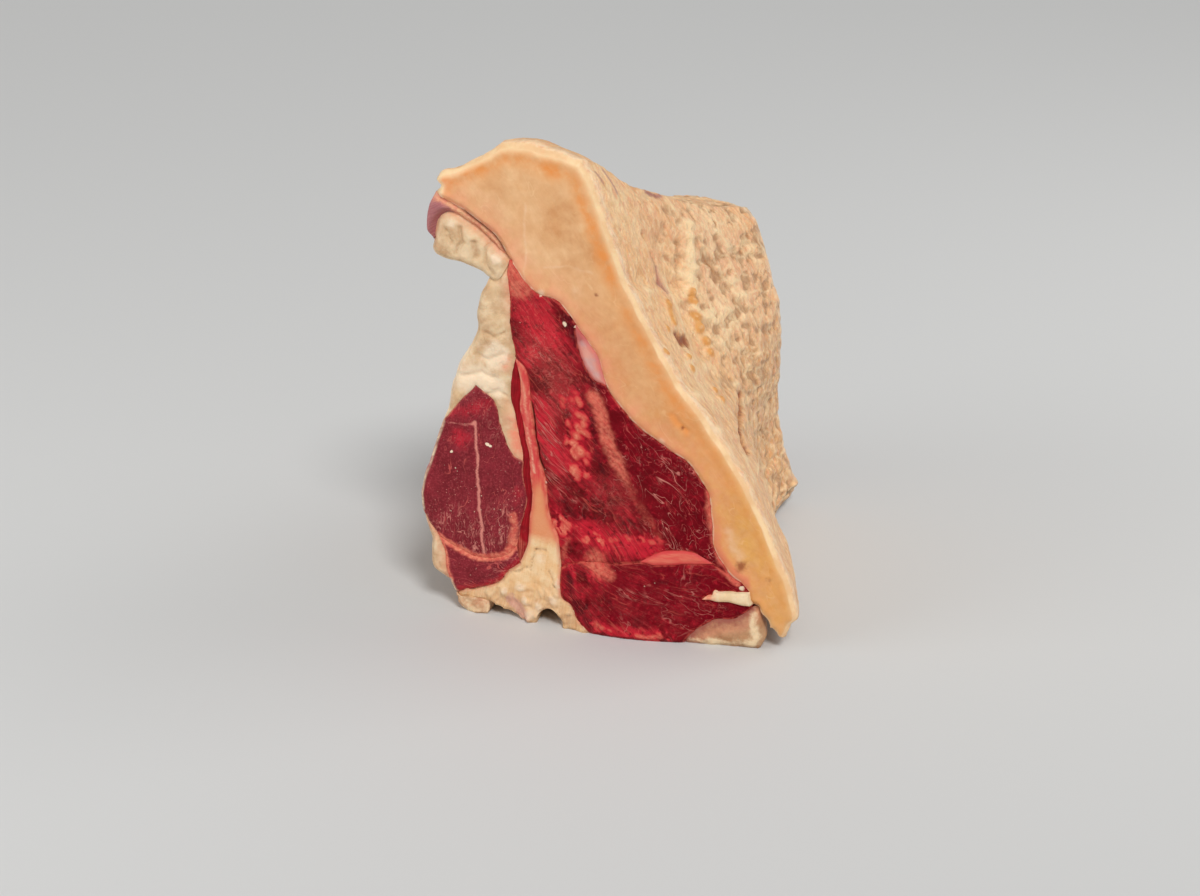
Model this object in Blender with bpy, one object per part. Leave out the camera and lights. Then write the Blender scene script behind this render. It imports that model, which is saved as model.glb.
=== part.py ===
"""Raw T-bone cut: a thick bone-in short-loin piece that stands on its sawn chine side.

The near cut face is a map of the loin's layers, drawn as border lines that neighbours share.
A layer is what its borders enclose, drawn in by half a seam. The function carry takes the whole
map back through the piece: it lowers, narrows and twists the section towards the far cut face,
and swells or hollows the fat side, so that every layer runs through and none meets another.

Lengths here are in millimetres, turned into metres as the meshes are made. +X is the fat side,
-Y the near cut face and +Z up. The origin is the middle of the base.
"""
import math

import bmesh
import bpy
import numpy as np
from mathutils import Matrix

MM = 0.001

# Driving dimensions: the near cut face's height and width, and the length between the faces
HEIGHT = 206.0
WIDTH = 161.0
DEPTH = 170.0
FAR_HEIGHT_SHARE = 0.705
FAR_WIDTH_SHARE = 0.8
SEAM = 0.45

# The near face's size as its borders are drawn below
DRAWN_HEIGHT = 206.0
DRAWN_WIDTH = 161.0

# How the section changes from the near face (t = 0) to the far face (t = 1)
EARLY_DROP = 1.4
TWIST_REACH = 25.5
TWIST_HEIGHT = 100.0
TWIST_SPAN = 43.0
FACE_BELLY = 7.0
BELLY_MIDDLE = 12.0
BELLY_WIDTH = 38.0
BELLY_HEIGHT = 34.0
END_ROUNDING = 0.012
ROUNDED_SHARE = 0.03
ROUNDING_MIDDLE = -40.0
CROWN = 6.5
RIM_STANDS = 0.8
HOLLOW_DEPTH = 12.0
GROOVE_DEPTH = 4.0
SHOULDER_SWELL = 3.5
FOOT_REACH = 3.5
SKIN_REACH = 38.0

# Spacing of the rings along the piece, and of the points along a border
STATIONS = (0.0, 0.008, 0.05, 0.18, 0.34, 0.5, 0.66, 0.82, 0.93, 1.0)
BORDER_STEP = 6.4
FINE_STEP = 4.0

# How much a point's x counts against its height where a side panel is creased, and the
# bluntest that a mitred corner is taken for
LEAN = 0.3
SHARPEST = 0.03

# Places on the near face where three or more borders meet
TAIL_CORNER = (-68.0, 184.5)
TAIL_HEEL = (-69.5, 165.0)
GROOVE_END = (-35.0, 160.0)
WAIST = (-44.0, 151.0)
RIB_TIP = (-32.3, 117.5)
FILLET_TIP = (-50.0, 104.5)
FILLET_SHOULDER = (-65.0, 86.0)
WEDGE_TIP = (-29.6, 72.0)
HIP = (-75.4, 46.0)
HIP_INNER = (-68.0, 33.5)
STRAP_FOOT = (-33.0, 33.5)
BODY_SHOULDER = (-31.0, 26.0)
HIP_FOOT = (-63.8, 13.6)
BODY_HEEL = (-61.0, 8.4)
LEG_TOP = (-12.5, 27.0)
LEG_FOOT = (2.0, 0.0)
SEAM_LEFT = (23.0, 33.6)
SEAM_RIGHT = (54.0, 36.2)
MUSCLE_TIP = (67.0, 29.5)
STRAND_ROOT_TOP = (69.8, 25.6)
STRAND_ROOT_LOW = (70.4, 20.4)
SPINE_SHOULDER = (70.0, 17.6)
NOTCH = (73.4, 18.4)
SPINE_TOE = (43.0, 0.0)
SINEW_TOP = (-6.0, 134.5)
SINEW_LOW = (7.2, 110.0)

# Border lines, each from one meeting place to another
BORDERS = {
    "tail_edge": [TAIL_CORNER, (-64.6, 187.6), (-66.6, 190.5), (-63.5, 194.0), (-55.0, 196.8),
                  (-46.0, 201.5), (-38.0, 206.0)],
    "top_edge": [(-38.0, 206.0), (-28.0, 206.0), (-17.0, 204.3), (-5.0, 202.5)],
    "skin": [(-5.0, 202.5), (-0.5, 195.0), (4.5, 182.0), (9.0, 169.0), (14.0, 156.0),
             (20.5, 143.0), (29.0, 127.0), (39.0, 110.5), (48.5, 98.5), (57.5, 86.0),
             (67.0, 71.0), (75.0, 55.0), (81.0, 41.0), (86.0, 29.0), (89.0, 18.5)],
    "flap": [(89.0, 18.5), (86.5, 9.5), (82.3, 6.5), (78.5, 11.0), (75.8, 16.0), NOTCH],
    "flap_root": [NOTCH, (72.4, 20.0), STRAND_ROOT_LOW],
    "strand_root": [STRAND_ROOT_LOW, STRAND_ROOT_TOP],
    "flap_inner": [STRAND_ROOT_TOP, MUSCLE_TIP],
    "loin_cap_low": [MUSCLE_TIP, (61.5, 32.8), (57.0, 38.5), (54.0, 46.0), (53.2, 56.0),
                     (51.8, 66.0), (48.0, 74.0), (42.5, 80.5), (34.5, 85.5), (24.0, 92.0),
                     (14.5, 100.0), SINEW_LOW],
    "sinew_cap": [SINEW_LOW, (2.6, 122.5), SINEW_TOP],
    "loin_cap_top": [SINEW_TOP, (-9.6, 139.5), (-15.0, 145.0), (-22.0, 147.0), (-28.0, 151.5),
                     (-31.5, 156.0), GROOVE_END],
    "groove_top": [GROOVE_END, (-38.5, 165.8), (-44.0, 171.3), (-50.0, 175.8),
                   (-56.0, 179.2), (-62.0, 181.8), TAIL_CORNER],
    "flank_edge": [TAIL_CORNER, (-70.4, 178.0), (-71.0, 171.0), TAIL_HEEL],
    "groove_low": [GROOVE_END, (-39.3, 162.6), (-44.8, 168.2), (-50.5, 172.6),
                   (-56.5, 176.0), (-61.0, 177.2), (-65.3, 175.4), (-67.6, 171.0), TAIL_HEEL],
    "lump_edge": [TAIL_HEEL, (-68.4, 160.6), (-65.0, 158.4), (-56.0, 157.0), (-50.0, 155.2),
                  (-46.4, 153.6), WAIST],
    "lump_inner": [WAIST, (-40.5, 149.8), (-37.4, 153.0), GROOVE_END],
    "suet_edge": [WAIST, (-47.0, 144.5), (-49.6, 137.0), (-49.6, 129.5), (-53.0, 121.5),
                  (-57.5, 113.5), (-60.8, 104.0), (-62.6, 94.0), FILLET_SHOULDER],
    "suet_inner": [GROOVE_END, (-35.4, 154.0), (-34.3, 146.0), (-34.2, 132.0),
                   (-33.4, 124.0), RIB_TIP],
    "suet_strap": [RIB_TIP, (-34.6, 108.0), (-34.2, 100.0), (-33.0, 91.0), (-30.8, 82.0),
                   WEDGE_TIP],
    "suet_fillet": [WEDGE_TIP, (-34.6, 75.2), (-38.2, 83.0), (-40.8, 91.5), (-42.0, 97.6),
                    (-45.6, 100.6), FILLET_TIP],
    "suet_rim": [FILLET_TIP, (-57.6, 96.0), FILLET_SHOULDER],
    "fillet_edge": [FILLET_SHOULDER, (-68.8, 76.0), (-72.6, 64.5), (-75.4, 54.0), HIP],
    "fillet_strap": [WEDGE_TIP, (-28.9, 63.0), (-28.6, 53.0), (-30.4, 42.0), STRAP_FOOT],
    "fillet_base": [STRAP_FOOT, (-37.0, 29.4), (-43.0, 27.0), (-50.0, 26.4), (-57.0, 27.8),
                    (-63.0, 30.6), HIP_INNER],
    "strap_base": [STRAP_FOOT, BODY_SHOULDER],
    "hip_inner": [HIP_INNER, (-71.6, 38.6), HIP],
    "hip_edge": [HIP, (-73.6, 37.0), (-71.8, 31.5), (-72.2, 25.0), (-71.0, 19.0),
                 (-67.0, 15.2), HIP_FOOT],
    "hip_muscle": [HIP_INNER, (-65.9, 26.0), (-65.4, 19.0), HIP_FOOT],
    "psoas_edge": [HIP_FOOT, BODY_HEEL],
    "psoas_base": [BODY_HEEL, (-54.0, 11.0), (-46.0, 13.6), (-39.8, 17.2), (-36.6, 22.2),
                   BODY_SHOULDER],
    "rib_left": [RIB_TIP, (-30.4, 109.0), (-30.3, 101.0), (-30.3, 94.0), (-28.4, 86.0),
                 (-26.9, 76.0), (-25.6, 65.0), (-25.9, 54.0), (-26.2, 42.0), (-28.2, 32.5),
                 BODY_SHOULDER],
    "rib_right": [RIB_TIP, (-28.2, 113.0), (-26.6, 104.0), (-26.0, 94.0), (-24.4, 84.0),
                  (-22.5, 74.0), (-20.0, 65.0), (-18.8, 55.0), (-16.8, 46.5), (-13.6, 39.5),
                  LEG_TOP],
    "leg_side": [LEG_TOP, (-12.6, 19.5), (-11.4, 13.6), (-6.8, 11.2), (-3.4, 5.0), LEG_FOOT],
    "arm_base": [BODY_HEEL, (-58.0, 6.6), (-50.0, 7.0), (-43.0, 5.2), (-35.0, 3.2),
                 (-28.0, 0.0)],
    "left_foot": [(-28.0, 0.0), (-23.4, 0.0)],
    "canal": [(-23.4, 0.0), (-22.4, 4.2), (-19.0, 6.8), (-14.8, 6.8), (-11.8, 3.8),
              (-10.6, 0.0)],
    "right_foot": [(-10.6, 0.0), LEG_FOOT],
    "seam_low": [LEG_TOP, (-4.0, 30.2), (6.0, 31.6), (15.0, 32.6), SEAM_LEFT],
    "seam_under": [SEAM_LEFT, (32.0, 33.6), (42.0, 34.6), SEAM_RIGHT],
    "seam_over": [SEAM_LEFT, (30.0, 38.2), (38.0, 40.4), (46.0, 40.2), SEAM_RIGHT],
    "seam_end": [SEAM_RIGHT, (60.0, 32.8), MUSCLE_TIP],
    "muscle_base": [LEG_FOOT, (22.0, 0.0), SPINE_TOE],
    "spine_top": [SPINE_TOE, (45.4, 4.6), (50.0, 8.2), (56.0, 11.8), (64.0, 12.8),
                  SPINE_SHOULDER],
    "muscle_end": [SPINE_SHOULDER, STRAND_ROOT_LOW],
    "strand_low": [STRAND_ROOT_LOW, (63.0, 19.4), (56.0, 19.2), (50.0, 20.8)],
    "strand_top": [(50.0, 20.8), (55.0, 24.4), (63.0, 26.2), STRAND_ROOT_TOP],
    "spine_cap": [SPINE_SHOULDER, (71.4, 19.0), NOTCH],
    "spine_edge": [NOTCH, (74.6, 12.0), (76.0, 5.5), (74.0, 0.0)],
    "spine_base": [(74.0, 0.0), SPINE_TOE],
    "sinew_inner": [SINEW_LOW, (1.6, 112.6), (-3.0, 119.5), (-5.4, 127.0), SINEW_TOP],
    "tag_top": [BODY_HEEL, (-58.0, 6.6), (-50.0, 7.0), (-46.0, 6.0)],
    "tag_low": [(-46.0, 6.0), (-47.0, 0.0), (-56.0, 0.0), BODY_HEEL],
}

# Borders that a layer's ring follows in turn; a minus sign follows one backwards
LAYERS = {
    "fat_cap": ["-tail_edge", "-groove_top", "-loin_cap_top", "-sinew_cap", "-loin_cap_low",
                "-flap_inner", "-strand_root", "-flap_root", "-flap", "-skin", "-top_edge"],
    "flank_muscle": ["flank_edge", "-groove_low", "groove_top"],
    "tail_fat": ["lump_edge", "lump_inner", "groove_low"],
    "suet": ["suet_edge", "-suet_rim", "-suet_fillet", "-suet_strap", "-suet_inner",
             "-lump_inner"],
    "fillet": ["fillet_edge", "-hip_inner", "-fillet_base", "-fillet_strap", "suet_fillet",
               "suet_rim"],
    "hip_fat": ["hip_edge", "-hip_muscle", "hip_inner"],
    "small_fillet": ["hip_muscle", "psoas_edge", "psoas_base", "-strap_base", "fillet_base"],
    "strap_muscle": ["suet_strap", "fillet_strap", "strap_base", "-rib_left"],
    "bone": ["-psoas_base", "arm_base", "left_foot", "canal", "right_foot", "-leg_side",
             "-rib_right", "rib_left"],
    "loin_eye": ["suet_inner", "rib_right", "seam_low", "seam_over", "seam_end",
                 "loin_cap_low", "sinew_inner", "loin_cap_top"],
    "sinew": ["sinew_cap", "-sinew_inner"],
    "seam_fat": ["seam_under", "-seam_over"],
    "lower_muscle": ["leg_side", "muscle_base", "spine_top", "muscle_end", "strand_low",
                     "strand_top", "flap_inner", "-seam_end", "-seam_under", "-seam_low"],
    "fat_strand": ["-strand_top", "-strand_low", "strand_root"],
    "spine_tip": ["-spine_edge", "-spine_cap", "-spine_top", "-spine_base"],
    "bone_tag": ["tag_low", "tag_top"],
}

# Base colour and roughness of each layer
FAT = ((0.83, 0.62, 0.40), 0.5)
SUET = ((0.84, 0.74, 0.52), 0.55)
DEEP_MEAT = ((0.28, 0.02, 0.04), 0.35)
PLUM_MEAT = ((0.30, 0.05, 0.08), 0.4)
COLOURS = {
    "fat_cap": FAT,
    "flank_muscle": ((0.36, 0.13, 0.19), 0.4),
    "tail_fat": SUET,
    "suet": SUET,
    "fillet": PLUM_MEAT,
    "hip_fat": SUET,
    "small_fillet": ((0.34, 0.06, 0.07), 0.4),
    "strap_muscle": ((0.42, 0.02, 0.03), 0.35),
    "bone": ((0.80, 0.64, 0.38), 0.6),
    "loin_eye": DEEP_MEAT,
    "sinew": ((0.72, 0.50, 0.50), 0.3),
    "seam_fat": ((0.70, 0.28, 0.20), 0.4),
    "lower_muscle": DEEP_MEAT,
    "fat_strand": SUET,
    "spine_tip": ((0.66, 0.42, 0.28), 0.5),
    "bone_tag": ((0.78, 0.58, 0.48), 0.5),
}

FINE_LAYERS = {"flank_muscle", "strap_muscle", "sinew", "seam_fat", "fat_strand", "hip_fat",
               "bone_tag"}
TAG_DEPTH_SHARE = 0.1


def hump(value, middle, width):
    """A bell of height 1 at the middle, which falls off over the width on both sides."""
    return np.exp(-((value - middle) / width) ** 2)


def rise(value, start, end):
    """A smooth step from 0 at the start to 1 at the end."""
    share = np.clip((value - start) / (end - start), 0.0, 1.0)
    return share * share * (3.0 - 2.0 * share)


def smooth_line(points, step):
    """A Catmull-Rom curve through the points, with even points about a step apart."""
    points = np.array(points, dtype=float)
    ends = np.vstack([2 * points[0] - points[1], points, 2 * points[-1] - points[-2]])
    fine = []
    for a, b, c, d in zip(ends[:-3], ends[1:-2], ends[2:-1], ends[3:]):
        u = np.linspace(0.0, 1.0, 9)[:-1, None]
        fine.append(0.5 * (2 * b + (c - a) * u + (2 * a - 5 * b + 4 * c - d) * u ** 2
                           + (3 * b - a - 3 * c + d) * u ** 3))
    fine = np.vstack(fine + [points[-1:]])
    run = np.concatenate([[0.0], np.cumsum(np.linalg.norm(np.diff(fine, axis=0), axis=1))])
    count = max(1, round(run[-1] / step))
    even = np.linspace(0.0, run[-1], count + 1)
    return np.column_stack([np.interp(even, run, fine[:, k]) for k in (0, 1)])


def layer_ring(name):
    """The closed ring of a layer on the near face, anticlockwise and without its last point."""
    pieces = []
    for border in LAYERS[name]:
        key = border.lstrip("-")
        line = smooth_line(BORDERS[key], FINE_STEP if name in FINE_LAYERS else BORDER_STEP)
        if border.startswith("-"):
            line = line[::-1]
        pieces.append(line[:-1])
    ring = np.vstack(pieces) * (WIDTH / DRAWN_WIDTH, HEIGHT / DRAWN_HEIGHT)
    x, z = ring.T
    area = 0.5 * np.sum(x * np.roll(z, -1) - np.roll(x, -1) * z)
    return ring if area > 0 else ring[::-1]


def inset(ring, distance):
    """The ring drawn in by a distance, with mitred corners."""
    before = ring - np.roll(ring, 1, axis=0)
    after = np.roll(ring, -1, axis=0) - ring
    before /= np.linalg.norm(before, axis=1)[:, None]
    after /= np.linalg.norm(after, axis=1)[:, None]
    inward = np.column_stack([-before[:, 1] - after[:, 1], before[:, 0] + after[:, 0]])
    stretch = 1.0 + np.sum(before * after, axis=1)
    return ring + distance * inward / np.maximum(stretch, SHARPEST)[:, None]


def skin_x(z):
    """How far out the fat side stands on the near face at a height."""
    line = smooth_line(BORDERS["skin"], BORDER_STEP)[::-1]
    return np.interp(z, line[:, 1], line[:, 0])


def skin_relief(z, t):
    """How far the fat side stands out of the straight run between the two cut faces.

    The near rim stands proud, a hollow runs up behind it and tucks in under the far half, the
    far shoulder swells, and a foot of fat curls out at the far bottom corner.
    """
    low = 1.0 - rise(z, 45.0, 125.0)
    middle = rise(z, 95.0, 125.0) * (1.0 - rise(z, 165.0, 195.0))
    rim = RIM_STANDS * hump(t, 0.06, 0.05) * (1.0 - rise(z, 120.0, 190.0))
    hollow = -HOLLOW_DEPTH * hump(t, 0.65, 0.28) * low
    groove = -GROOVE_DEPTH * hump(t, 0.34, 0.08) * middle
    swelling = SHOULDER_SWELL * hump(t, 0.76, 0.16) * hump(z, 120.0, 50.0)
    foot = FOOT_REACH * hump(t, 1.0, 0.07) * hump(z, 10.0, 14.0)
    return rim + hollow + groove + swelling + foot


def carry(x, z, t):
    """The place in space, in millimetres, of a near-face point carried a share t of the depth."""
    to_end = np.minimum(min(t, 1.0 - t) / ROUNDED_SHARE, 1.0)
    spread = 1.0 + END_ROUNDING * math.sqrt(1.0 - (1.0 - to_end) ** 2)
    drop = 1.0 - (1.0 - FAR_HEIGHT_SHARE) * (EARLY_DROP * t - (EARLY_DROP - 1.0) * t * t)
    narrow = 1.0 - (1.0 - FAR_WIDTH_SHARE) * t
    twist = 1.0 + TWIST_REACH * np.tanh((z - TWIST_HEIGHT) / TWIST_SPAN)
    depth_in = np.maximum(skin_x(z) - x, 0.0)
    relief = skin_relief(z, t) * np.exp(-depth_in / SKIN_REACH)
    crown = CROWN * hump(t, 0.1, 0.09) * rise(z, 150.0, 200.0) * hump(x, -30.0, 22.0)
    belly = FACE_BELLY * hump(x, BELLY_MIDDLE, BELLY_WIDTH) * hump(z, 0.0, BELLY_HEIGHT)
    across = ROUNDING_MIDDLE + (x - ROUNDING_MIDDLE) * spread
    return np.column_stack([
        across * narrow + t * twist + relief,
        DEPTH * t - belly * (1.0 - t),
        z * drop * spread + crown,
    ])


def add_material(name, colour, roughness):
    """A plain Principled material."""
    material = bpy.data.materials.new(name)
    material.use_nodes = True
    shader = material.node_tree.nodes["Principled BSDF"]
    shader.inputs["Base Color"].default_value = (*colour, 1.0)
    shader.inputs["Roughness"].default_value = roughness
    shader.inputs["Metallic"].default_value = 0.0
    material.diffuse_color = (*colour, 1.0)
    return material


def add_layer(name, last_station=1.0):
    """One layer: its ring carried back through the piece, with a face at each end.

    A side panel is creased from its lower near corner to its upper far one, the same way in
    both of the layers that meet there, so that their twisted sides follow each other.
    """
    ring = inset(layer_ring(name), SEAM / 2)
    x = ring[:, 0]
    z = np.maximum(ring[:, 1] - SEAM / 2, 0.0)
    rows = [carry(x, z, t * last_station) * MM for t in STATIONS]
    count = len(ring)
    mesh = bmesh.new()
    loops = [[mesh.verts.new(point) for point in row] for row in rows]
    for near, far in zip(loops[:-1], loops[1:]):
        for i in range(count):
            j = (i + 1) % count
            if z[i] + LEAN * x[i] < z[j] + LEAN * x[j]:
                mesh.faces.new((near[i], far[i], far[j]))
                mesh.faces.new((near[i], far[j], near[j]))
            else:
                mesh.faces.new((near[i], far[i], near[j]))
                mesh.faces.new((far[i], far[j], near[j]))
    mesh.faces.new(loops[0])
    mesh.faces.new(loops[-1][::-1])
    data = bpy.data.meshes.new(name)
    mesh.to_mesh(data)
    mesh.free()
    data.shade_smooth()
    data.set_sharp_from_angle(angle=math.radians(40))
    data.materials.append(add_material(name, *COLOURS[name]))
    layer = bpy.data.objects.new(name, data)
    bpy.context.scene.collection.objects.link(layer)
    return layer


def stand_on_origin(layers):
    """Moves the meshes so that the middle of the whole piece's base is the origin."""
    corners = np.array([vertex.co for layer in layers for vertex in layer.data.vertices])
    low, high = corners.min(axis=0), corners.max(axis=0)
    middle = ((low[0] + high[0]) / 2, (low[1] + high[1]) / 2, low[2])
    for layer in layers:
        layer.data.transform(Matrix.Translation(middle).inverted())


def main():
    for item in list(bpy.data.objects):
        bpy.data.objects.remove(item, do_unlink=True)
    layers = [add_layer(name) for name in LAYERS if name != "bone_tag"]
    layers.append(add_layer("bone_tag", TAG_DEPTH_SHARE))
    stand_on_origin(layers)


main()
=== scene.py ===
"""Looks of a raw T-bone cut: a thick bone-in short-loin piece that stands on its sawn chine side.

Every layer of the cut is one closed surface that stands for its CAD node. Its near and far cut
faces are height fields over a grid of the face, trimmed to the layer's ring, and its sides are
that ring carried back through the piece. Lengths in the maps are millimetres.
"""
import math

import bpy
import numpy as np
from bpy.props import FloatProperty, FloatVectorProperty, PointerProperty
from bpy.types import Operator, Panel, PropertyGroup
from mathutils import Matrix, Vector
from mathutils.geometry import delaunay_2d_cdt


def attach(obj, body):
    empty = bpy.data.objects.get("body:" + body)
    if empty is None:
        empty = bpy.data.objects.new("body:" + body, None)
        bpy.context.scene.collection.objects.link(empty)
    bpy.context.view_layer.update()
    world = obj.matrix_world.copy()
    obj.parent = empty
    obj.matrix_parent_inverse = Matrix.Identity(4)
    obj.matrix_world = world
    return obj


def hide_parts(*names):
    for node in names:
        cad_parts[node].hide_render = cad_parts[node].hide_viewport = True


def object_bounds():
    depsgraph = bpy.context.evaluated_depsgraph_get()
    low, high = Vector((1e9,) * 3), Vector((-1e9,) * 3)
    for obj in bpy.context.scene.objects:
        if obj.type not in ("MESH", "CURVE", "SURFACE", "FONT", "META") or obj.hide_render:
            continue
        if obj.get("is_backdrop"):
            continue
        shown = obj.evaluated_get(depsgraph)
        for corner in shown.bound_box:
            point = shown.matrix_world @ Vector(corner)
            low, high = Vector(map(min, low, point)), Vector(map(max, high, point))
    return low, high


bl_info = {
    "name": "Raw T-bone cut",
    "version": (1, 0, 0),
    "blender": (4, 5, 0),
    "location": "View3D > Sidebar > T-bone",
    "description": "Dresses the layers of a raw bone-in short-loin piece",
    "category": "Add Mesh",
}

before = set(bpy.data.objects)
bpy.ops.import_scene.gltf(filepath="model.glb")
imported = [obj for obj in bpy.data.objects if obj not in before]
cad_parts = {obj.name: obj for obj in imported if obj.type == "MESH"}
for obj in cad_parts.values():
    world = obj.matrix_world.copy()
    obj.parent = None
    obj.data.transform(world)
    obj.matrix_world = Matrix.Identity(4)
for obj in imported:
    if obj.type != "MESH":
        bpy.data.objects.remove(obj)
CAD_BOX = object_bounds()
MM = 0.001

# ------------------------------------------------------------------ the map of the near cut face

# How the section changes from the near face (t = 0) to the far face (t = 1), as in the CAD
DEPTH = 170.0
FAR_HEIGHT_SHARE = 0.705
FAR_WIDTH_SHARE = 0.8
EARLY_DROP = 1.4
TWIST_REACH = 25.5
TWIST_HEIGHT = 100.0
TWIST_SPAN = 43.0
FACE_BELLY = 7.0
BELLY_MIDDLE = 12.0
BELLY_WIDTH = 38.0
BELLY_HEIGHT = 34.0
END_ROUNDING = 0.012
ROUNDED_SHARE = 0.03
ROUNDING_MIDDLE = -40.0
CROWN = 6.5
RIM_STANDS = 0.8
HOLLOW_DEPTH = 12.0
GROOVE_DEPTH = 4.0
SHOULDER_SWELL = 3.5
FOOT_REACH = 3.5
SKIN_REACH = 38.0
TAG_DEPTH_SHARE = 0.1

# The mesh: how much coarser a ring's points are along seams, where its two inner rows lie in
# grid steps, when a point counts as on a border, the distance given where there is none, and how
# many points are worked on at once
SEAM_COARSER = 1.3
INNER_ROWS = (0.4, 0.95)
ON_BORDER = 0.08
FAR_OFF = 99.0
AT_ONCE = 6000

# How far a side reaches into its neighbour, and the waves in which seams stray: their size all
# over, and their size and strength across and up on the piece's left side
NEIGHBOUR_OVERLAP = 0.12
SEAM_WAVES = 9.0
LEFT_WAVES = 13.0
LEFT_STRAY = (1.8, 5.0)

# Places where three or more borders meet
TAIL_CORNER = (-68, 184.5)
TAIL_HEEL = (-69.5, 165)
GROOVE_END = (-35, 160)
WAIST = (-44, 151)
RIB_TIP = (-32.3, 117.5)
FILLET_TIP = (-50, 104.5)
FILLET_SHOULDER = (-65, 86)
WEDGE_TIP = (-29.6, 72)
HIP = (-75.4, 46)
HIP_INNER = (-68, 33.5)
STRAP_FOOT = (-33, 33.5)
BODY_SHOULDER = (-31, 26)
HIP_FOOT = (-63.8, 13.6)
BODY_HEEL = (-61, 8.4)
LEG_TOP = (-12.5, 27)
LEG_FOOT = (2, 0)
SEAM_LEFT = (23, 33.6)
SEAM_RIGHT = (54, 36.2)
MUSCLE_TIP = (67, 29.5)
STRAND_ROOT_TOP = (69.8, 25.6)
STRAND_ROOT_LOW = (70.4, 20.4)
SPINE_SHOULDER = (70, 17.6)
NOTCH = (73.4, 18.4)
SPINE_TOE = (43, 0)
SINEW_TOP = (-6, 134.5)
SINEW_LOW = (7.2, 110)

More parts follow.
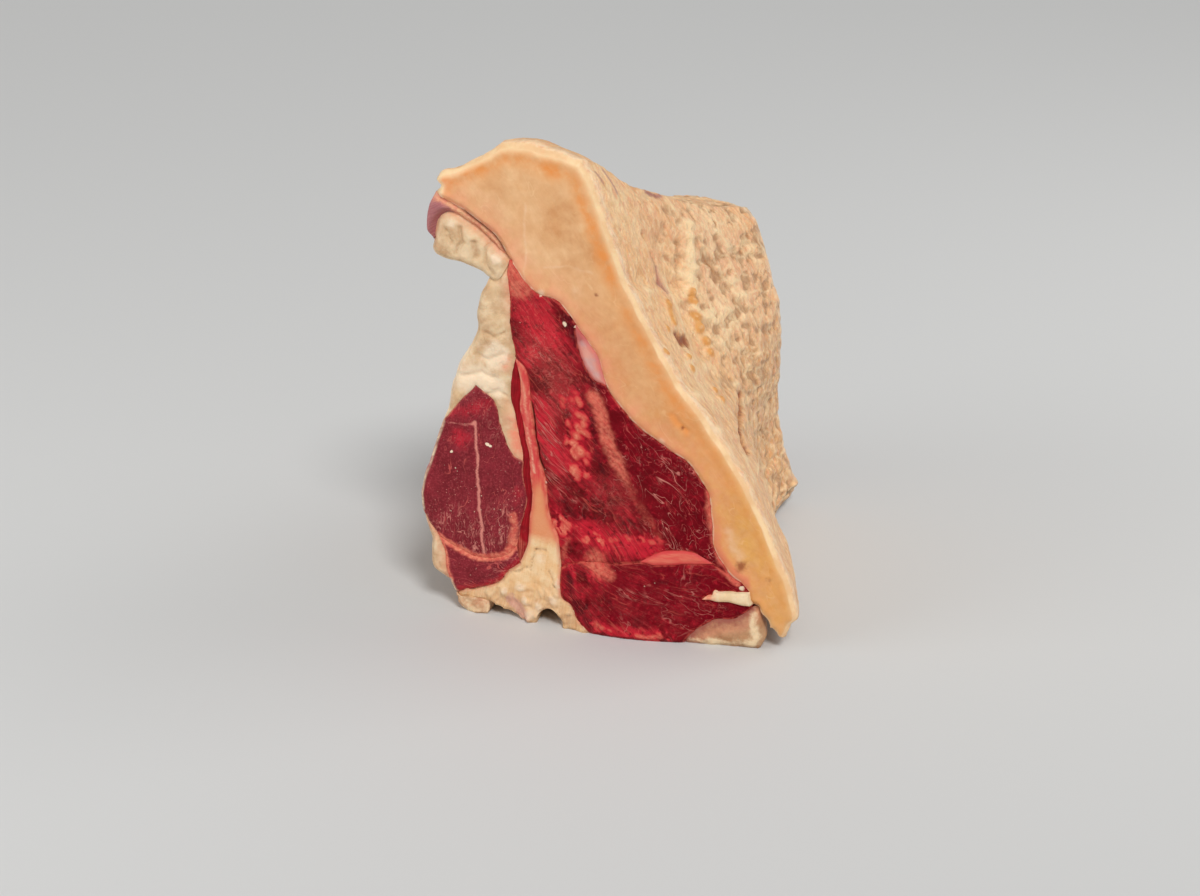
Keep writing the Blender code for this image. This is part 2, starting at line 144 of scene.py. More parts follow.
# Border lines, each from one meeting place to another, as in the CAD
BORDERS = {
    "tail_edge": [TAIL_CORNER, (-64.6, 187.6), (-66.6, 190.5), (-63.5, 194), (-55, 196.8),
        (-46, 201.5), (-38, 206)],
    "top_edge": [(-38, 206), (-28, 206), (-17, 204.3), (-5, 202.5)],
    "skin": [(-5, 202.5), (-0.5, 195), (4.5, 182), (9, 169), (14, 156), (20.5, 143), (29, 127),
        (39, 110.5), (48.5, 98.5), (57.5, 86), (67, 71), (75, 55), (81, 41), (86, 29), (89, 18.5)],
    "flap": [(89, 18.5), (89.2, 15.4), (86.8, 12.6), (86.4, 9.2), (84.9, 6.4), (82.6, 7),
        (81.2, 9.6), (79.2, 10.4), (78.3, 13.2), (76, 15.6), NOTCH],
    "flap_root": [NOTCH, (72.4, 20), STRAND_ROOT_LOW],
    "strand_root": [STRAND_ROOT_LOW, STRAND_ROOT_TOP],
    "flap_inner": [STRAND_ROOT_TOP, MUSCLE_TIP],
    "loin_cap_low": [MUSCLE_TIP, (61.5, 32.8), (57, 38.5), (54, 46), (53.2, 56), (51.8, 66),
        (48, 74), (42.5, 80.5), (34.5, 85.5), (24, 92), (14.5, 100), SINEW_LOW],
    "sinew_cap": [SINEW_LOW, (2.6, 122.5), SINEW_TOP],
    "loin_cap_top": [SINEW_TOP, (-9.6, 139.5), (-15, 145), (-22, 147), (-28, 151.5), (-31.5, 156),
        GROOVE_END],
    "groove_top": [GROOVE_END, (-38.5, 165.8), (-44, 171.3), (-50, 175.8), (-56, 179.2),
        (-62, 181.8), TAIL_CORNER],
    "flank_edge": [TAIL_CORNER, (-70.4, 178), (-71, 171), TAIL_HEEL],
    "groove_low": [GROOVE_END, (-39.3, 162.6), (-44.8, 168.2), (-50.5, 172.6), (-56.5, 176),
        (-61, 177.2), (-65.3, 175.4), (-67.6, 171), TAIL_HEEL],
    "lump_edge": [TAIL_HEEL, (-68.4, 160.6), (-65, 158.4), (-56, 157), (-50, 155.2),
        (-46.4, 153.6), WAIST],
    "lump_inner": [WAIST, (-40.5, 149.8), (-37.4, 153), GROOVE_END],
    "suet_edge": [WAIST, (-47, 144.5), (-49.6, 137), (-49.6, 129.5), (-53, 121.5), (-57.5, 113.5),
        (-60.8, 104), (-62.6, 94), FILLET_SHOULDER],
    "suet_inner": [GROOVE_END, (-35.4, 154), (-34.3, 146), (-34.2, 132), (-33.4, 124), RIB_TIP],
    "suet_strap": [RIB_TIP, (-34.6, 108), (-34.2, 100), (-33, 91), (-30.8, 82), WEDGE_TIP],
    "suet_fillet": [WEDGE_TIP, (-34.6, 75.2), (-38.2, 83), (-40.8, 91.5), (-42, 97.6),
        (-45.6, 100.6), FILLET_TIP],
    "suet_rim": [FILLET_TIP, (-57.6, 96), FILLET_SHOULDER],
    "fillet_edge": [FILLET_SHOULDER, (-68.8, 76), (-72.6, 64.5), (-75.4, 54), HIP],
    "fillet_strap": [WEDGE_TIP, (-28.9, 63), (-28.6, 53), (-30.4, 42), STRAP_FOOT],
    "fillet_base": [STRAP_FOOT, (-37, 29.4), (-43, 27), (-50, 26.4), (-57, 27.8), (-63, 30.6),
        HIP_INNER],
    "strap_base": [STRAP_FOOT, BODY_SHOULDER],
    "hip_inner": [HIP_INNER, (-71.6, 38.6), HIP],
    "hip_edge": [HIP, (-73.6, 37), (-71.8, 31.5), (-72.2, 25), (-71, 19), (-67, 15.2), HIP_FOOT],
    "hip_muscle": [HIP_INNER, (-65.9, 26), (-65.4, 19), HIP_FOOT],
    "psoas_edge": [HIP_FOOT, BODY_HEEL],
    "psoas_base": [BODY_HEEL, (-54, 11), (-46, 13.6), (-39.8, 17.2), (-36.6, 22.2), BODY_SHOULDER],
    "rib_left": [RIB_TIP, (-30.4, 109), (-30.3, 101), (-30.3, 94), (-28.4, 86), (-26.9, 76),
        (-25.6, 65), (-25.9, 54), (-26.2, 42), (-28.2, 32.5), BODY_SHOULDER],
    "rib_right": [RIB_TIP, (-28.2, 113), (-26.6, 104), (-26, 94), (-24.4, 84), (-22.5, 74),
        (-20, 65), (-18.8, 55), (-16.8, 46.5), (-13.6, 39.5), LEG_TOP],
    "leg_side": [LEG_TOP, (-12.6, 19.5), (-11.4, 13.6), (-6.8, 11.2), (-3.4, 5), LEG_FOOT],
    "arm_base": [BODY_HEEL, (-58, 6.6), (-50, 7), (-43, 5.2), (-35, 3.2), (-28, 0)],
    "left_foot": [(-28, 0), (-23.4, 0)],
    "canal": [(-23.4, 0), (-22.4, 4.2), (-19, 6.8), (-14.8, 6.8), (-11.8, 3.8), (-10.6, 0)],
    "right_foot": [(-10.6, 0), LEG_FOOT],
    "seam_low": [LEG_TOP, (-4, 30.2), (6, 31.6), (15, 32.6), SEAM_LEFT],
    "seam_under": [SEAM_LEFT, (32, 33.6), (42, 34.6), SEAM_RIGHT],
    "seam_over": [SEAM_LEFT, (30, 38.2), (38, 40.4), (46, 40.2), SEAM_RIGHT],
    "seam_end": [SEAM_RIGHT, (60, 32.8), MUSCLE_TIP],
    "muscle_base": [LEG_FOOT, (22, 0), SPINE_TOE],
    "spine_top": [SPINE_TOE, (45.4, 4.6), (50, 8.2), (56, 11.8), (64, 12.8), SPINE_SHOULDER],
    "muscle_end": [SPINE_SHOULDER, STRAND_ROOT_LOW],
    "strand_low": [STRAND_ROOT_LOW, (67, 20.6), (61.5, 20.9), (56, 20.6), (53, 21), (50, 20.8)],
    "strand_top": [(50, 20.8), (52.2, 22.4), (54.2, 22.4), (55.2, 24.6), (57, 24), (63, 25),
        STRAND_ROOT_TOP],
    "spine_cap": [SPINE_SHOULDER, (71.4, 19), NOTCH],
    "spine_edge": [NOTCH, (74.6, 12), (76, 5.5), (74, 0)],
    "spine_base": [(74, 0), SPINE_TOE],
    "sinew_inner": [SINEW_LOW, (1.6, 112.6), (-3, 119.5), (-5.4, 127), SINEW_TOP],
    "tag_top": [BODY_HEEL, (-58, 6.6), (-50, 7), (-46, 6)],
    "tag_low": [(-46, 6), (-47, 0), (-56, 0), BODY_HEEL],
}

# Borders that a layer's ring follows in turn; a minus sign follows one backwards
LAYERS = {
    "fat_cap": ["-tail_edge", "-groove_top", "-loin_cap_top", "-sinew_cap", "-loin_cap_low",
                "-flap_inner", "-strand_root", "-flap_root", "-flap", "-skin", "-top_edge"],
    "flank_muscle": ["flank_edge", "-groove_low", "groove_top"],
    "tail_fat": ["lump_edge", "lump_inner", "groove_low"],
    "suet": ["suet_edge", "-suet_rim", "-suet_fillet", "-suet_strap", "-suet_inner",
             "-lump_inner"],
    "fillet": ["fillet_edge", "-hip_inner", "-fillet_base", "-fillet_strap", "suet_fillet",
               "suet_rim"],
    "hip_fat": ["hip_edge", "-hip_muscle", "hip_inner"],
    "small_fillet": ["hip_muscle", "psoas_edge", "psoas_base", "-strap_base", "fillet_base"],
    "strap_muscle": ["suet_strap", "fillet_strap", "strap_base", "-rib_left"],
    "bone": ["-psoas_base", "arm_base", "left_foot", "canal", "right_foot", "-leg_side",
             "-rib_right", "rib_left"],
    "loin_eye": ["suet_inner", "rib_right", "seam_low", "seam_over", "seam_end",
                 "loin_cap_low", "sinew_inner", "loin_cap_top"],
    "sinew": ["sinew_cap", "-sinew_inner"],
    "seam_fat": ["seam_under", "-seam_over"],
    "lower_muscle": ["leg_side", "muscle_base", "spine_top", "muscle_end", "strand_low",
                     "strand_top", "flap_inner", "-seam_end", "-seam_under", "-seam_low"],
    "fat_strand": ["-strand_top", "-strand_low", "strand_root"],
    "spine_tip": ["-spine_edge", "-spine_cap", "-spine_top", "-spine_base"],
    "bone_tag": ["tag_low", "tag_top"],
}

# Borders that lie on the outside of the piece, in turn round it, and all that show outside
OUTLINE = ["tail_edge", "top_edge", "skin", "flap", "spine_edge", "spine_base", "-muscle_base",
           "-right_foot", "-canal", "-left_foot", "-arm_base", "-psoas_edge", "-hip_edge",
           "-fillet_edge", "-suet_edge", "-lump_edge", "-flank_edge"]
OUTER = {border.lstrip("-") for border in OUTLINE} | {"tag_low"}


def hump(value, middle, width):
    """A bell of height 1 at the middle, which falls off over the width on both sides."""
    return np.exp(-((value - middle) / width) ** 2)


def rise(value, start, end):
    """A smooth step from 0 at the start to 1 at the end."""
    share = np.clip((value - start) / (end - start), 0, 1)
    return share * share * (3 - 2 * share)


def smooth_line(points, step):
    """A Catmull-Rom curve through the points, with even points about a step apart."""
    points = np.array(points, dtype=float)
    ends = np.vstack([2 * points[0] - points[1], points, 2 * points[-1] - points[-2]])
    fine = []
    for a, b, c, d in zip(ends[:-3], ends[1:-2], ends[2:-1], ends[3:]):
        u = np.linspace(0, 1, 9)[:-1, None]
        fine.append(0.5 * (2 * b + (c - a) * u + (2 * a - 5 * b + 4 * c - d) * u ** 2
                           + (3 * b - a - 3 * c + d) * u ** 3))
    fine = np.vstack(fine + [points[-1:]])
    run = np.concatenate([[0], np.cumsum(np.linalg.norm(np.diff(fine, axis=0), axis=1))])
    count = max(1, round(run[-1] / step))
    even = np.linspace(0, run[-1], count + 1)
    return np.column_stack([np.interp(even, run, fine[:, k]) for k in (0, 1)])


def border_line(border, step):
    """A border's curve but for its last point, taken backwards where it has a minus sign."""
    line = smooth_line(BORDERS[border.lstrip("-")], step)
    return line[::-1][:-1] if border.startswith("-") else line[:-1]


def in_parts(work, points):
    """Runs work on a few thousand points at a time, which keeps its tables small."""
    results = [work(points[k:k + AT_ONCE]) for k in range(0, len(points), AT_ONCE)]
    if isinstance(results[0], tuple):
        return tuple(np.concatenate(part) for part in zip(*results))
    return np.concatenate(results)


def distance_to(points, line):
    """How far each point is from a line of straight runs, and how far along it that is.

    Each point is dropped onto every run at once, and its nearest foot is kept.
    """
    start, run = line[:-1], np.diff(line, axis=0)
    length = np.linalg.norm(run, axis=1)
    before = np.concatenate([[0], np.cumsum(length)])[:-1]

    def drop(part):
        offset = part[:, None, :] - start
        share = np.clip(np.sum(offset * run, axis=2) / (length ** 2 + 1e-12), 0, 1)
        away = np.linalg.norm(offset - share[..., None] * run, axis=2)
        nearest = np.argmin(away, axis=1)
        row = np.arange(len(part))
        return away[row, nearest], before[nearest] + share[row, nearest] * length[nearest]

    return in_parts(drop, points)


SKIN_LINE = smooth_line(BORDERS["skin"], 1)[::-1]
OUTLINE_LINE = np.vstack([border_line(border, 2) for border in OUTLINE] + [[TAIL_CORNER]])


def skin_relief(z, t):
    """How far the fat side stands out of the straight run between the two cut faces, as in CAD.

    The near rim stands proud, a hollow runs up behind it and tucks in under the far half, the
    far shoulder swells, and a foot of fat curls out at the far bottom corner.
    """
    low = 1 - rise(z, 45, 125)
    middle = rise(z, 95, 125) * (1 - rise(z, 165, 195))
    rim = RIM_STANDS * hump(t, 0.06, 0.05) * (1 - rise(z, 120, 190))
    hollow = -HOLLOW_DEPTH * hump(t, 0.65, 0.28) * low
    groove = -GROOVE_DEPTH * hump(t, 0.34, 0.08) * middle
    swelling = SHOULDER_SWELL * hump(t, 0.76, 0.16) * hump(z, 120, 50)
    foot = FOOT_REACH * hump(t, 1, 0.07) * hump(z, 10, 14)
    return rim + hollow + groove + swelling + foot


def carry(x, z, t):
    """The place in space, in millimetres, of near-face points carried a share t of the depth."""
    to_end = np.minimum(np.minimum(t, 1 - t) / ROUNDED_SHARE, 1)
    spread = 1 + END_ROUNDING * np.sqrt(1 - (1 - to_end) ** 2)
    drop = 1 - (1 - FAR_HEIGHT_SHARE) * (EARLY_DROP * t - (EARLY_DROP - 1) * t * t)
    narrow = 1 - (1 - FAR_WIDTH_SHARE) * t
    twist = 1 + TWIST_REACH * np.tanh((z - TWIST_HEIGHT) / TWIST_SPAN)
    skin_x = np.interp(z, SKIN_LINE[:, 1], SKIN_LINE[:, 0])
    relief = skin_relief(z, t) * np.exp(-np.maximum(skin_x - x, 0) / SKIN_REACH)
    crown = CROWN * hump(t, 0.1, 0.09) * rise(z, 150, 200) * hump(x, -30, 22)
    belly = FACE_BELLY * hump(x, BELLY_MIDDLE, BELLY_WIDTH) * hump(z, 0, BELLY_HEIGHT)
    across = ROUNDING_MIDDLE + (x - ROUNDING_MIDDLE) * spread
    return np.column_stack([
        across * narrow + t * twist + relief,
        DEPTH * t - belly * (1 - t),
        z * drop * spread + crown,
    ])


def middle_of_frame():
    """What to take off a carried place so that the carried outline's box fits the CAD's box."""
    rows = [carry(*OUTLINE_LINE.T, np.full(len(OUTLINE_LINE), t)) for t in np.linspace(0, 1, 41)]
    low, high = np.vstack(rows).min(axis=0), np.vstack(rows).max(axis=0)
    cad_low, cad_high = np.array(CAD_BOX[0]) / MM, np.array(CAD_BOX[1]) / MM
    middle = (low + high) / 2 - (cad_low + cad_high) / 2
    return np.array([middle[0], middle[1], 0])


MIDDLE = middle_of_frame()


# ------------------------------------------------------------------ noise

CLOUD_LAYERS = range(3)


def scatter(cell, seed):
    """A repeatable number from 0 to 1 for each whole-numbered cell: its place, well stirred."""
    code = np.full(cell.shape[:-1], (seed * 2654435761 + 97) % 2 ** 32, np.uint32)
    for axis in range(cell.shape[-1]):
        code = (code ^ cell[..., axis].astype(np.int64).astype(np.uint32))
        code = code * np.uint32(0x9E3779B1)
        code = code ^ (code >> np.uint32(15))
        code = code * np.uint32(0x85EBCA6B)
        code = code ^ (code >> np.uint32(13))
    return code / 2.0 ** 32


def noise(points, size, seed):
    """Smooth noise from -1 to 1: numbers at the corners of a lattice, eased between them."""
    place = points / size + 0.37 * seed
    cell = np.floor(place).astype(np.int64)
    share = place - cell
    share = share * share * (3 - 2 * share)
    total = np.zeros(len(points))
    for corner in np.ndindex(*(2,) * points.shape[1]):
        weight = np.prod(np.where(np.array(corner) == 1, share, 1 - share), axis=1)
        total += weight * scatter(cell + np.array(corner), seed)
    return 2 * total - 1


def clouds(points, size, seed):
    """Noise with finer and weaker noise added, each layer half the size of the last."""
    turned = points @ np.linalg.qr(np.vander(np.arange(1, points.shape[1] + 1)).astype(float))[0]
    total = sum(noise(turned, size / 2 ** k, seed + 11 * k) / 2 ** k for k in CLOUD_LAYERS)
    return total / sum(0.5 ** k for k in CLOUD_LAYERS)


def cells(points, size, seed):
    """Scattered seeds, one to a lattice cell: distances to the nearest two, and a number of it.

    Distances are in cell sizes, so the second less the first is 0 on the lines between seeds.
    """
    place = points / size
    home = np.floor(place).astype(np.int64)
    first = np.full(len(points), 9.0)
    second = np.full(len(points), 9.0)
    number = np.zeros(len(points))
    for shift in np.ndindex(*(3,) * points.shape[1]):
        cell = home + np.array(shift) - 1
        seeds = [scatter(cell, seed + 31 * (axis + 1)) for axis in range(points.shape[1])]
        away = np.linalg.norm(cell + np.stack(seeds, axis=1) - place, axis=1)
        second = np.where(away < first, first, np.minimum(second, away))
        number = np.where(away < first, scatter(cell, seed + 5), number)
        first = np.minimum(first, away)
    return first, second, number


# ------------------------------------------------------------------ a layer's closed surface

def inside(points, ring):
    """Which points lie in a ring: those to whose right it crosses their height an odd count."""
    start, end = ring, np.roll(ring, -1, axis=0)

    def crossings(part):
        x, z = part[:, :1], part[:, 1:]
        spans = (start[:, 1] > z) != (end[:, 1] > z)
        run = (z - start[:, 1]) / (end[:, 1] - start[:, 1] + 1e-9)
        return np.sum(spans & (x < start[:, 0] + run * (end[:, 0] - start[:, 0])), axis=1)

    return in_parts(crossings, points) % 2 == 1


def ring_normals(x, z):
    """Unit normals in the face's plane that point out of a ring, from the runs beside a point."""
    along = np.column_stack([np.roll(x, -1) - np.roll(x, 1), np.roll(z, -1) - np.roll(z, 1)])
    along /= np.linalg.norm(along, axis=1)[:, None] + 1e-9
    return np.column_stack([along[:, 1], -along[:, 0]])


def trimmed_grid(ring, step):
    """A triangular grid trimmed to a ring: its points inside, and triangles that join all.

    Two rows follow the ring just inside it, and the grid fills what is left. The triangles are
    Delaunay's, over the ring's points first and then the inner ones.
    """
    low, high = ring.min(axis=0), ring.max(axis=0)
    x, z = np.meshgrid(np.arange(low[0], high[0], step), np.arange(low[1], high[1], 0.87 * step))
    x[1::2] += step / 2
    closed = np.vstack([ring, ring[:1]])

    def kept(points, least):
        """The points that lie in the ring and no nearer to it than the least distance."""
        points = points[inside(points, ring)]
        return points[distance_to(points, closed)[0] > least]

    rows = [kept(ring - share * step * ring_normals(*ring.T), 0.85 * share * step)
            for share in INNER_ROWS]
    grid = kept(np.column_stack([x.ravel(), z.ravel()]), 1.45 * step)
    points = np.vstack([ring] + rows + [grid])
    faces = delaunay_2d_cdt(points.tolist(), [], [list(range(len(ring)))], 1, 1e-7)[2]
    return points[len(ring):], np.array(faces)


def own_borders(name):
    """The borders round a layer, without their signs."""
    return [border.lstrip("-") for border in LAYERS[name]]


class Layer:
    """The points of a layer's surface, and what its relief and marks are worked out from.

    x, z: place on the map of the near face, in millimetres. t: share of the depth. near, far:
    1 on a cut face, falling to 0 along the sides. side: 1 on the ring and the sides. outer: 1 on
    sides that show. rim, seam: distance on the face to the piece's outside and to a neighbour.
    girth: distance round the outside of the piece. depth: distance back from the near face.
    """

    def __init__(self, name, face_step, side_step, row_step, reach=1):
        self.name = name
        outside = [key for key in own_borders(name) if key in OUTER]
        within = [key for key in own_borders(name) if key not in OUTER]
        ring = np.vstack([border_line(border, side_step if border.lstrip("-") in OUTER
                                      else SEAM_COARSER * face_step) for border in LAYERS[name]])
        following = np.roll(ring, -1, axis=0)
        if np.sum(ring[:, 0] * following[:, 1] - following[:, 0] * ring[:, 1]) < 0:
            ring = ring[::-1]
        inner, faces = trimmed_grid(ring, face_step)
        count, rows = len(ring), max(3, round(DEPTH * reach / row_step) + 1)
        shares = np.linspace(0, 1, rows)
        walls = np.tile(ring, (rows, 1))
        points = np.vstack([walls, inner, inner])
        self.x, self.z = points.T
        self.share = np.concatenate([np.repeat(shares, count), np.zeros(len(inner)),
                                     np.ones(len(inner))])
        self.t = self.share * reach
        self.side = np.concatenate([np.ones(len(walls)), np.zeros(2 * len(inner))])
        self.near, self.far = (1 - self.share) ** 3, self.share ** 3
        self.count, self.rows = count, rows
        self.rim, self.seam = self.away_from(outside), self.away_from(within)
        on_rim = (self.rim < 1e-6) & (self.side > 0)
        self.outer = np.where(on_rim, rise(self.seam, 0, 3), 0)
        self.girth = self.measured(OUTLINE_LINE)[1]
        self.depth = DEPTH * self.t
        last = count * (rows - 1)
        first_inner = count * rows
        near = np.where(faces < count, faces, faces - count + first_inner)
        far = np.where(faces < count, faces + last, faces - count + first_inner + len(inner))
        here = np.arange(last).reshape(rows - 1, count)
        beside = np.roll(here, -1, axis=1)
        self.quads = np.stack([here, here + count, beside + count, beside], -1).reshape(-1, 4)
        self.triangles = np.vstack([near, far[:, ::-1]])

    def away_from(self, borders):
        """Distance on the face to the nearest of some borders, far off where there are none."""
        nearest = np.full(len(self.x), FAR_OFF)
        for key in borders:
            nearest = np.minimum(nearest, self.measured(smooth_line(BORDERS[key], 1.3))[0])
        return np.where(nearest < ON_BORDER, 0, nearest)

    def measured(self, line):
        """How far each point is from a line, and how far along it, on the face."""
        flat, index = np.unique(np.column_stack([self.x, self.z]), axis=0, return_inverse=True)
        found = distance_to(flat, line)
        return [values[index.ravel()] for values in found]

    def flat(self):
        """Places on the face with the two faces far apart, for noise that differs on them."""
        return np.column_stack([self.x, self.z, 60 * (self.share > 0.5)])

    def wrap(self):
        """Places on the outside as if it were rolled out flat: girth and depth."""
        return np.column_stack([self.girth, self.depth])

    def place(self, lift, swell, wander):
        """Where the points stand, in metres.

        The map wanders a little, the whole is carried back, the cut faces are lifted by lift and
        the sides are moved out by swell. Inner sides reach a hair over into their neighbours.
        """
        flat = np.column_stack([self.x, self.z])
        inland = np.column_stack([0.6 * flat, 0.5 * self.depth])
        loose = 4 * self.share * (1 - self.share) * rise(-self.x, 25, 42) * self.side
        stray = [clouds(flat, SEAM_WAVES, 3 + axis) * (1 - self.share)
                 + clouds(flat, SEAM_WAVES, 5 + axis) * self.share
                 + LEFT_STRAY[axis] * loose * clouds(inland, LEFT_WAVES, 7 + axis)
                 for axis in (0, 1)]
        where = carry(self.x + wander * stray[0],
                      self.z + wander * rise(self.z, 0, 6) * stray[1], self.t)
        walls = self.count * self.rows
        loops = where[:walls].reshape(self.rows, self.count, 3)
        normals = np.vstack([ring_normals(row[:, 0], row[:, 2]) for row in loops])
        move = swell[:walls] * self.outer[:walls] + NEIGHBOUR_OVERLAP * (1 - self.outer[:walls])
        where[:walls, 0] += move * normals[:, 0]
        where[:walls, 2] += move * normals[:, 1] * rise(self.z[:walls], 0, 3)
        where[:, 1] += lift * (self.far - self.near)
        where[:, 2] = np.maximum(where[:, 2], 0)
        return (where - MIDDLE) * MM

    def make(self, points, marks):
        """The mesh object, smooth, with the marks as one number or vector at each point."""
        mesh = bpy.data.meshes.new(self.name + "_surface")
        corners = np.concatenate([self.triangles.ravel(), self.quads.ravel()])
        starts = np.concatenate([np.arange(len(self.triangles)) * 3,
                                 len(self.triangles) * 3 + np.arange(len(self.quads)) * 4])
        mesh.vertices.add(len(points))
        mesh.vertices.foreach_set("co", points.astype(np.float32).ravel())
        mesh.loops.add(len(corners))
        mesh.loops.foreach_set("vertex_index", corners.astype(np.int32))
        mesh.polygons.add(len(starts))
        mesh.polygons.foreach_set("loop_start", starts.astype(np.int32))
        mesh.update(calc_edges=True)
        mesh.validate()
        mesh.polygons.foreach_set("use_smooth", np.ones(len(starts), bool))
        for key, values in marks.items():
            kind, field = ("FLOAT_VECTOR", "vector") if values.ndim == 2 else ("FLOAT", "value")
            data = mesh.attributes.new(key, kind, "POINT").data
            data.foreach_set(field, values.astype(np.float32).ravel())
        piece = bpy.data.objects.new(self.name + "_surface", mesh)
        bpy.context.scene.collection.objects.link(piece)
        return piece


# ------------------------------------------------------------------ relief and marks

# Seams that are cut or pulled deeper than the rest, with their depth and half width
DEEP_SEAMS = {"groove_low": (3.2, 1.6), "groove_top": (2.2, 1.6), "lump_inner": (1.4, 1.2),
              "rib_right": (0.7, 0.8), "psoas_base": (1, 1), "sinew_cap": (0.7, 0.9),
              "muscle_end": (2, 1.5), "flap_root": (2, 1.5), "spine_cap": (2, 1.5)}
SKIN_MARK_REACH = 16.0
MARK_REACH = 20.0


def unsteady(layer):
    """Places on the face that stray a little, so that what is drawn on them isn't straight."""
    face = layer.flat()
    return face[:, :2] + 1.3 * np.column_stack([clouds(face, 5, 31), clouds(face, 5, 36)])


def spot(points, middle, radius):
    """A round soft spot: a bell of the distance from its middle."""
    return np.exp(-np.sum((points - np.array(middle)) ** 2, axis=1) / radius ** 2)


def stroke(points, line, width):
    """A stroke that is strongest along its line and falls off as a bell."""
    away = distance_to(points, np.array(line, float))[0]
    return hump(away, 0, width)


def drawn(points, *parts):
    """A mark from 0 to 1 of spots and strokes: the strength, place or line, and width of each."""
    return np.clip(sum(strength * (spot if np.ndim(where) == 1 else stroke)(points, where, width)
                       for strength, where, width in parts), 0, 1)


def beside(layer, width, *borders):
    """1 on a layer's borders of those names, falling off as a bell."""
    return hump(layer.away_from(borders), 0, width)


def rounding(layer, radius):
    """How far a cut face falls back towards the outside: a parabola that ends at 45 degrees."""
    return np.clip(radius - layer.rim, 0, radius) ** 2 / (2 * radius)


def seam_groove(layer, depth, width):
    """How far a face dips towards its neighbours, deeper along the deep seams."""
    dip = depth * hump(layer.seam, 0, width)
    for key, (deep, wide) in DEEP_SEAMS.items():
        if key in own_borders(layer.name):
            dip = np.maximum(dip, deep * beside(layer, wide, key))
    return dip


def rim_fade(layer, reach=4):
    """0 at the ends of the sides, rising to 1 within a short reach, so that rims stay clean."""
    return ((1 - np.exp(-layer.depth / reach))
            * (1 - np.exp(-(DEPTH - layer.depth) / reach)))


def cut_waves(layer):
    """The slow waves that the knife left over a whole cut face, shared by all layers."""
    return 0.7 * clouds(layer.flat(), 34, 21) + 0.25 * clouds(layer.flat(), 11, 22)


def common_marks(layer):
    """Marks that every layer has: outside or cut, and how far off the rim and the seams are.

    skin is 0.5 on the rim, falls to 0 inwards on the cut and rises to 1 outwards on the sides.
    """
    past_rim = np.where(layer.side > 0, layer.outer
                        * np.minimum(layer.depth, layer.depth.max() - layer.depth), -layer.rim)
    return {"skin": 0.5 + np.clip(past_rim / SKIN_MARK_REACH, -0.5, 0.5),
            "rim": np.minimum(layer.rim, MARK_REACH) * MM,
            "seam": np.minimum(layer.seam, MARK_REACH) * MM}


def with_sides(layer, along, across):
    """Flow places in metres: along and across the fibres on the cuts, depth and girth outside."""
    cut = np.column_stack([along, across, 70 * (layer.share > 0.5)])
    sides = np.column_stack([layer.depth, layer.girth, np.full(len(along), 30.0)])
    return np.where(layer.outer[:, None] > 0.5, sides, cut) * MM


def combed(layer, angle, sway=3):
    """Flow of fibres that run at an angle to the right on the cuts, swaying slowly."""
    x = layer.x + sway * clouds(layer.flat(), 26, 41)
    z = layer.z + sway * clouds(layer.flat(), 26, 43)
    turn = math.radians(angle)
    return with_sides(layer, x * math.cos(turn) + z * math.sin(turn),
                      z * math.cos(turn) - x * math.sin(turn))


def folds(layer, size, seed):
    """Rounded lobes with creases between them: cells of the place in space, dipping at lines."""
    first, second, _number = cells(layer.flat() + 4 * drifting(layer, 8, seed), size, seed)
    return 1 - np.exp(-3 * rise(second - first, 0, 1.2))


def lobes(layer, size, seed, kept):
    """Rounded grains drawn out along the fibres, 1 in their middle, of which a share is kept."""
    turned = np.column_stack([layer.x - layer.z, 1.7 * (layer.x + layer.z), layer.flat()[:, 2]])
    first, _second, number = cells(turned * 0.7 + 1.5 * drifting(layer, 4, seed), size, seed)
    return rise(-first, -0.8, -0.3) * (number < kept)


def drifting(layer, size, seed):
    """A slow shift of places on the face, which bends a pattern."""
    shifts = [clouds(layer.flat(), size, seed + k) for k in (1, 2)]
    return np.column_stack(shifts + [np.zeros(len(layer.x))])


# Places on the fat skin: distance round the outside from the tail's corner, then depth. A radius
# or width is measured round the outside; in the depth all these marks are drawn out.
DRAWN_OUT = np.array([1, 0.42])
DRAWN_UPRIGHT = np.array([0.62, 0.48])
NODULES = [((135, 37), 1.6), ((141, 33), 2.3), ((145, 33), 1.5), ((128, 71), 1.5),
           ((133, 70), 1.7), ((142, 67), 2.2), ((149, 65), 1.9), ((156, 67), 1.6),
           ((163, 66), 1.8), ((162, 30), 1.2), ((169, 27), 1.4), ((188, 43), 1.6),
           ((148, 20), 1.2), ((182, 44), 1.2), ((159, 4), 1.2)]
# Raised lumps outside, painted pale as a painted highlight.
PALE_LUMPS = [((90, 89), 2.4), ((97, 85), 2.4), ((105, 82), 2.4), ((113, 79), 2.2),
              ((120, 70), 2), ((170, 53), 2.6), ((122, 117), 3), ((131, 119), 2.6),
              ((139, 97), 2.4), ((143, 79), 2.6), ((159, 81), 2.6), ((185, 81), 2.4),
              ((177, 105), 1.8), ((172, 120), 1.8), ((130, 21), 2.4), ((217, 26), 2.4),
              ((226, 46), 2.2), ((181, 10), 2.6), ((198, 6), 2.4), ((224, 18), 2.6)]
PITS = [((84, 74), 2.6), ((110, 97), 2), ((118, 105), 2), ((126, 110), 1.8), ((102, 72), 1.5),
        ((134, 112), 2), ((141, 120), 1.8), ((171, 91), 2), ((182, 62), 2), ((163, 115), 1.6),
        ((179, 132), 1.8), ((195, 123), 1.6), ((99, 99), 1.7), ((95, 115), 1.6), ((119, 82), 1.6),
        ((151, 111), 1.7), ((155, 140), 1.6), ((149, 93), 1.6), ((132, 89), 1.5), ((167, 78), 1.6),
        ((167, 104), 1.6), ((182, 115), 1.5), ((216, 147), 1.9), ((204, 108), 1.6),
        ((106, 137), 1.8), ((102, 126), 1.6), ((187, 98), 1.6), ((196, 100), 1.7)]
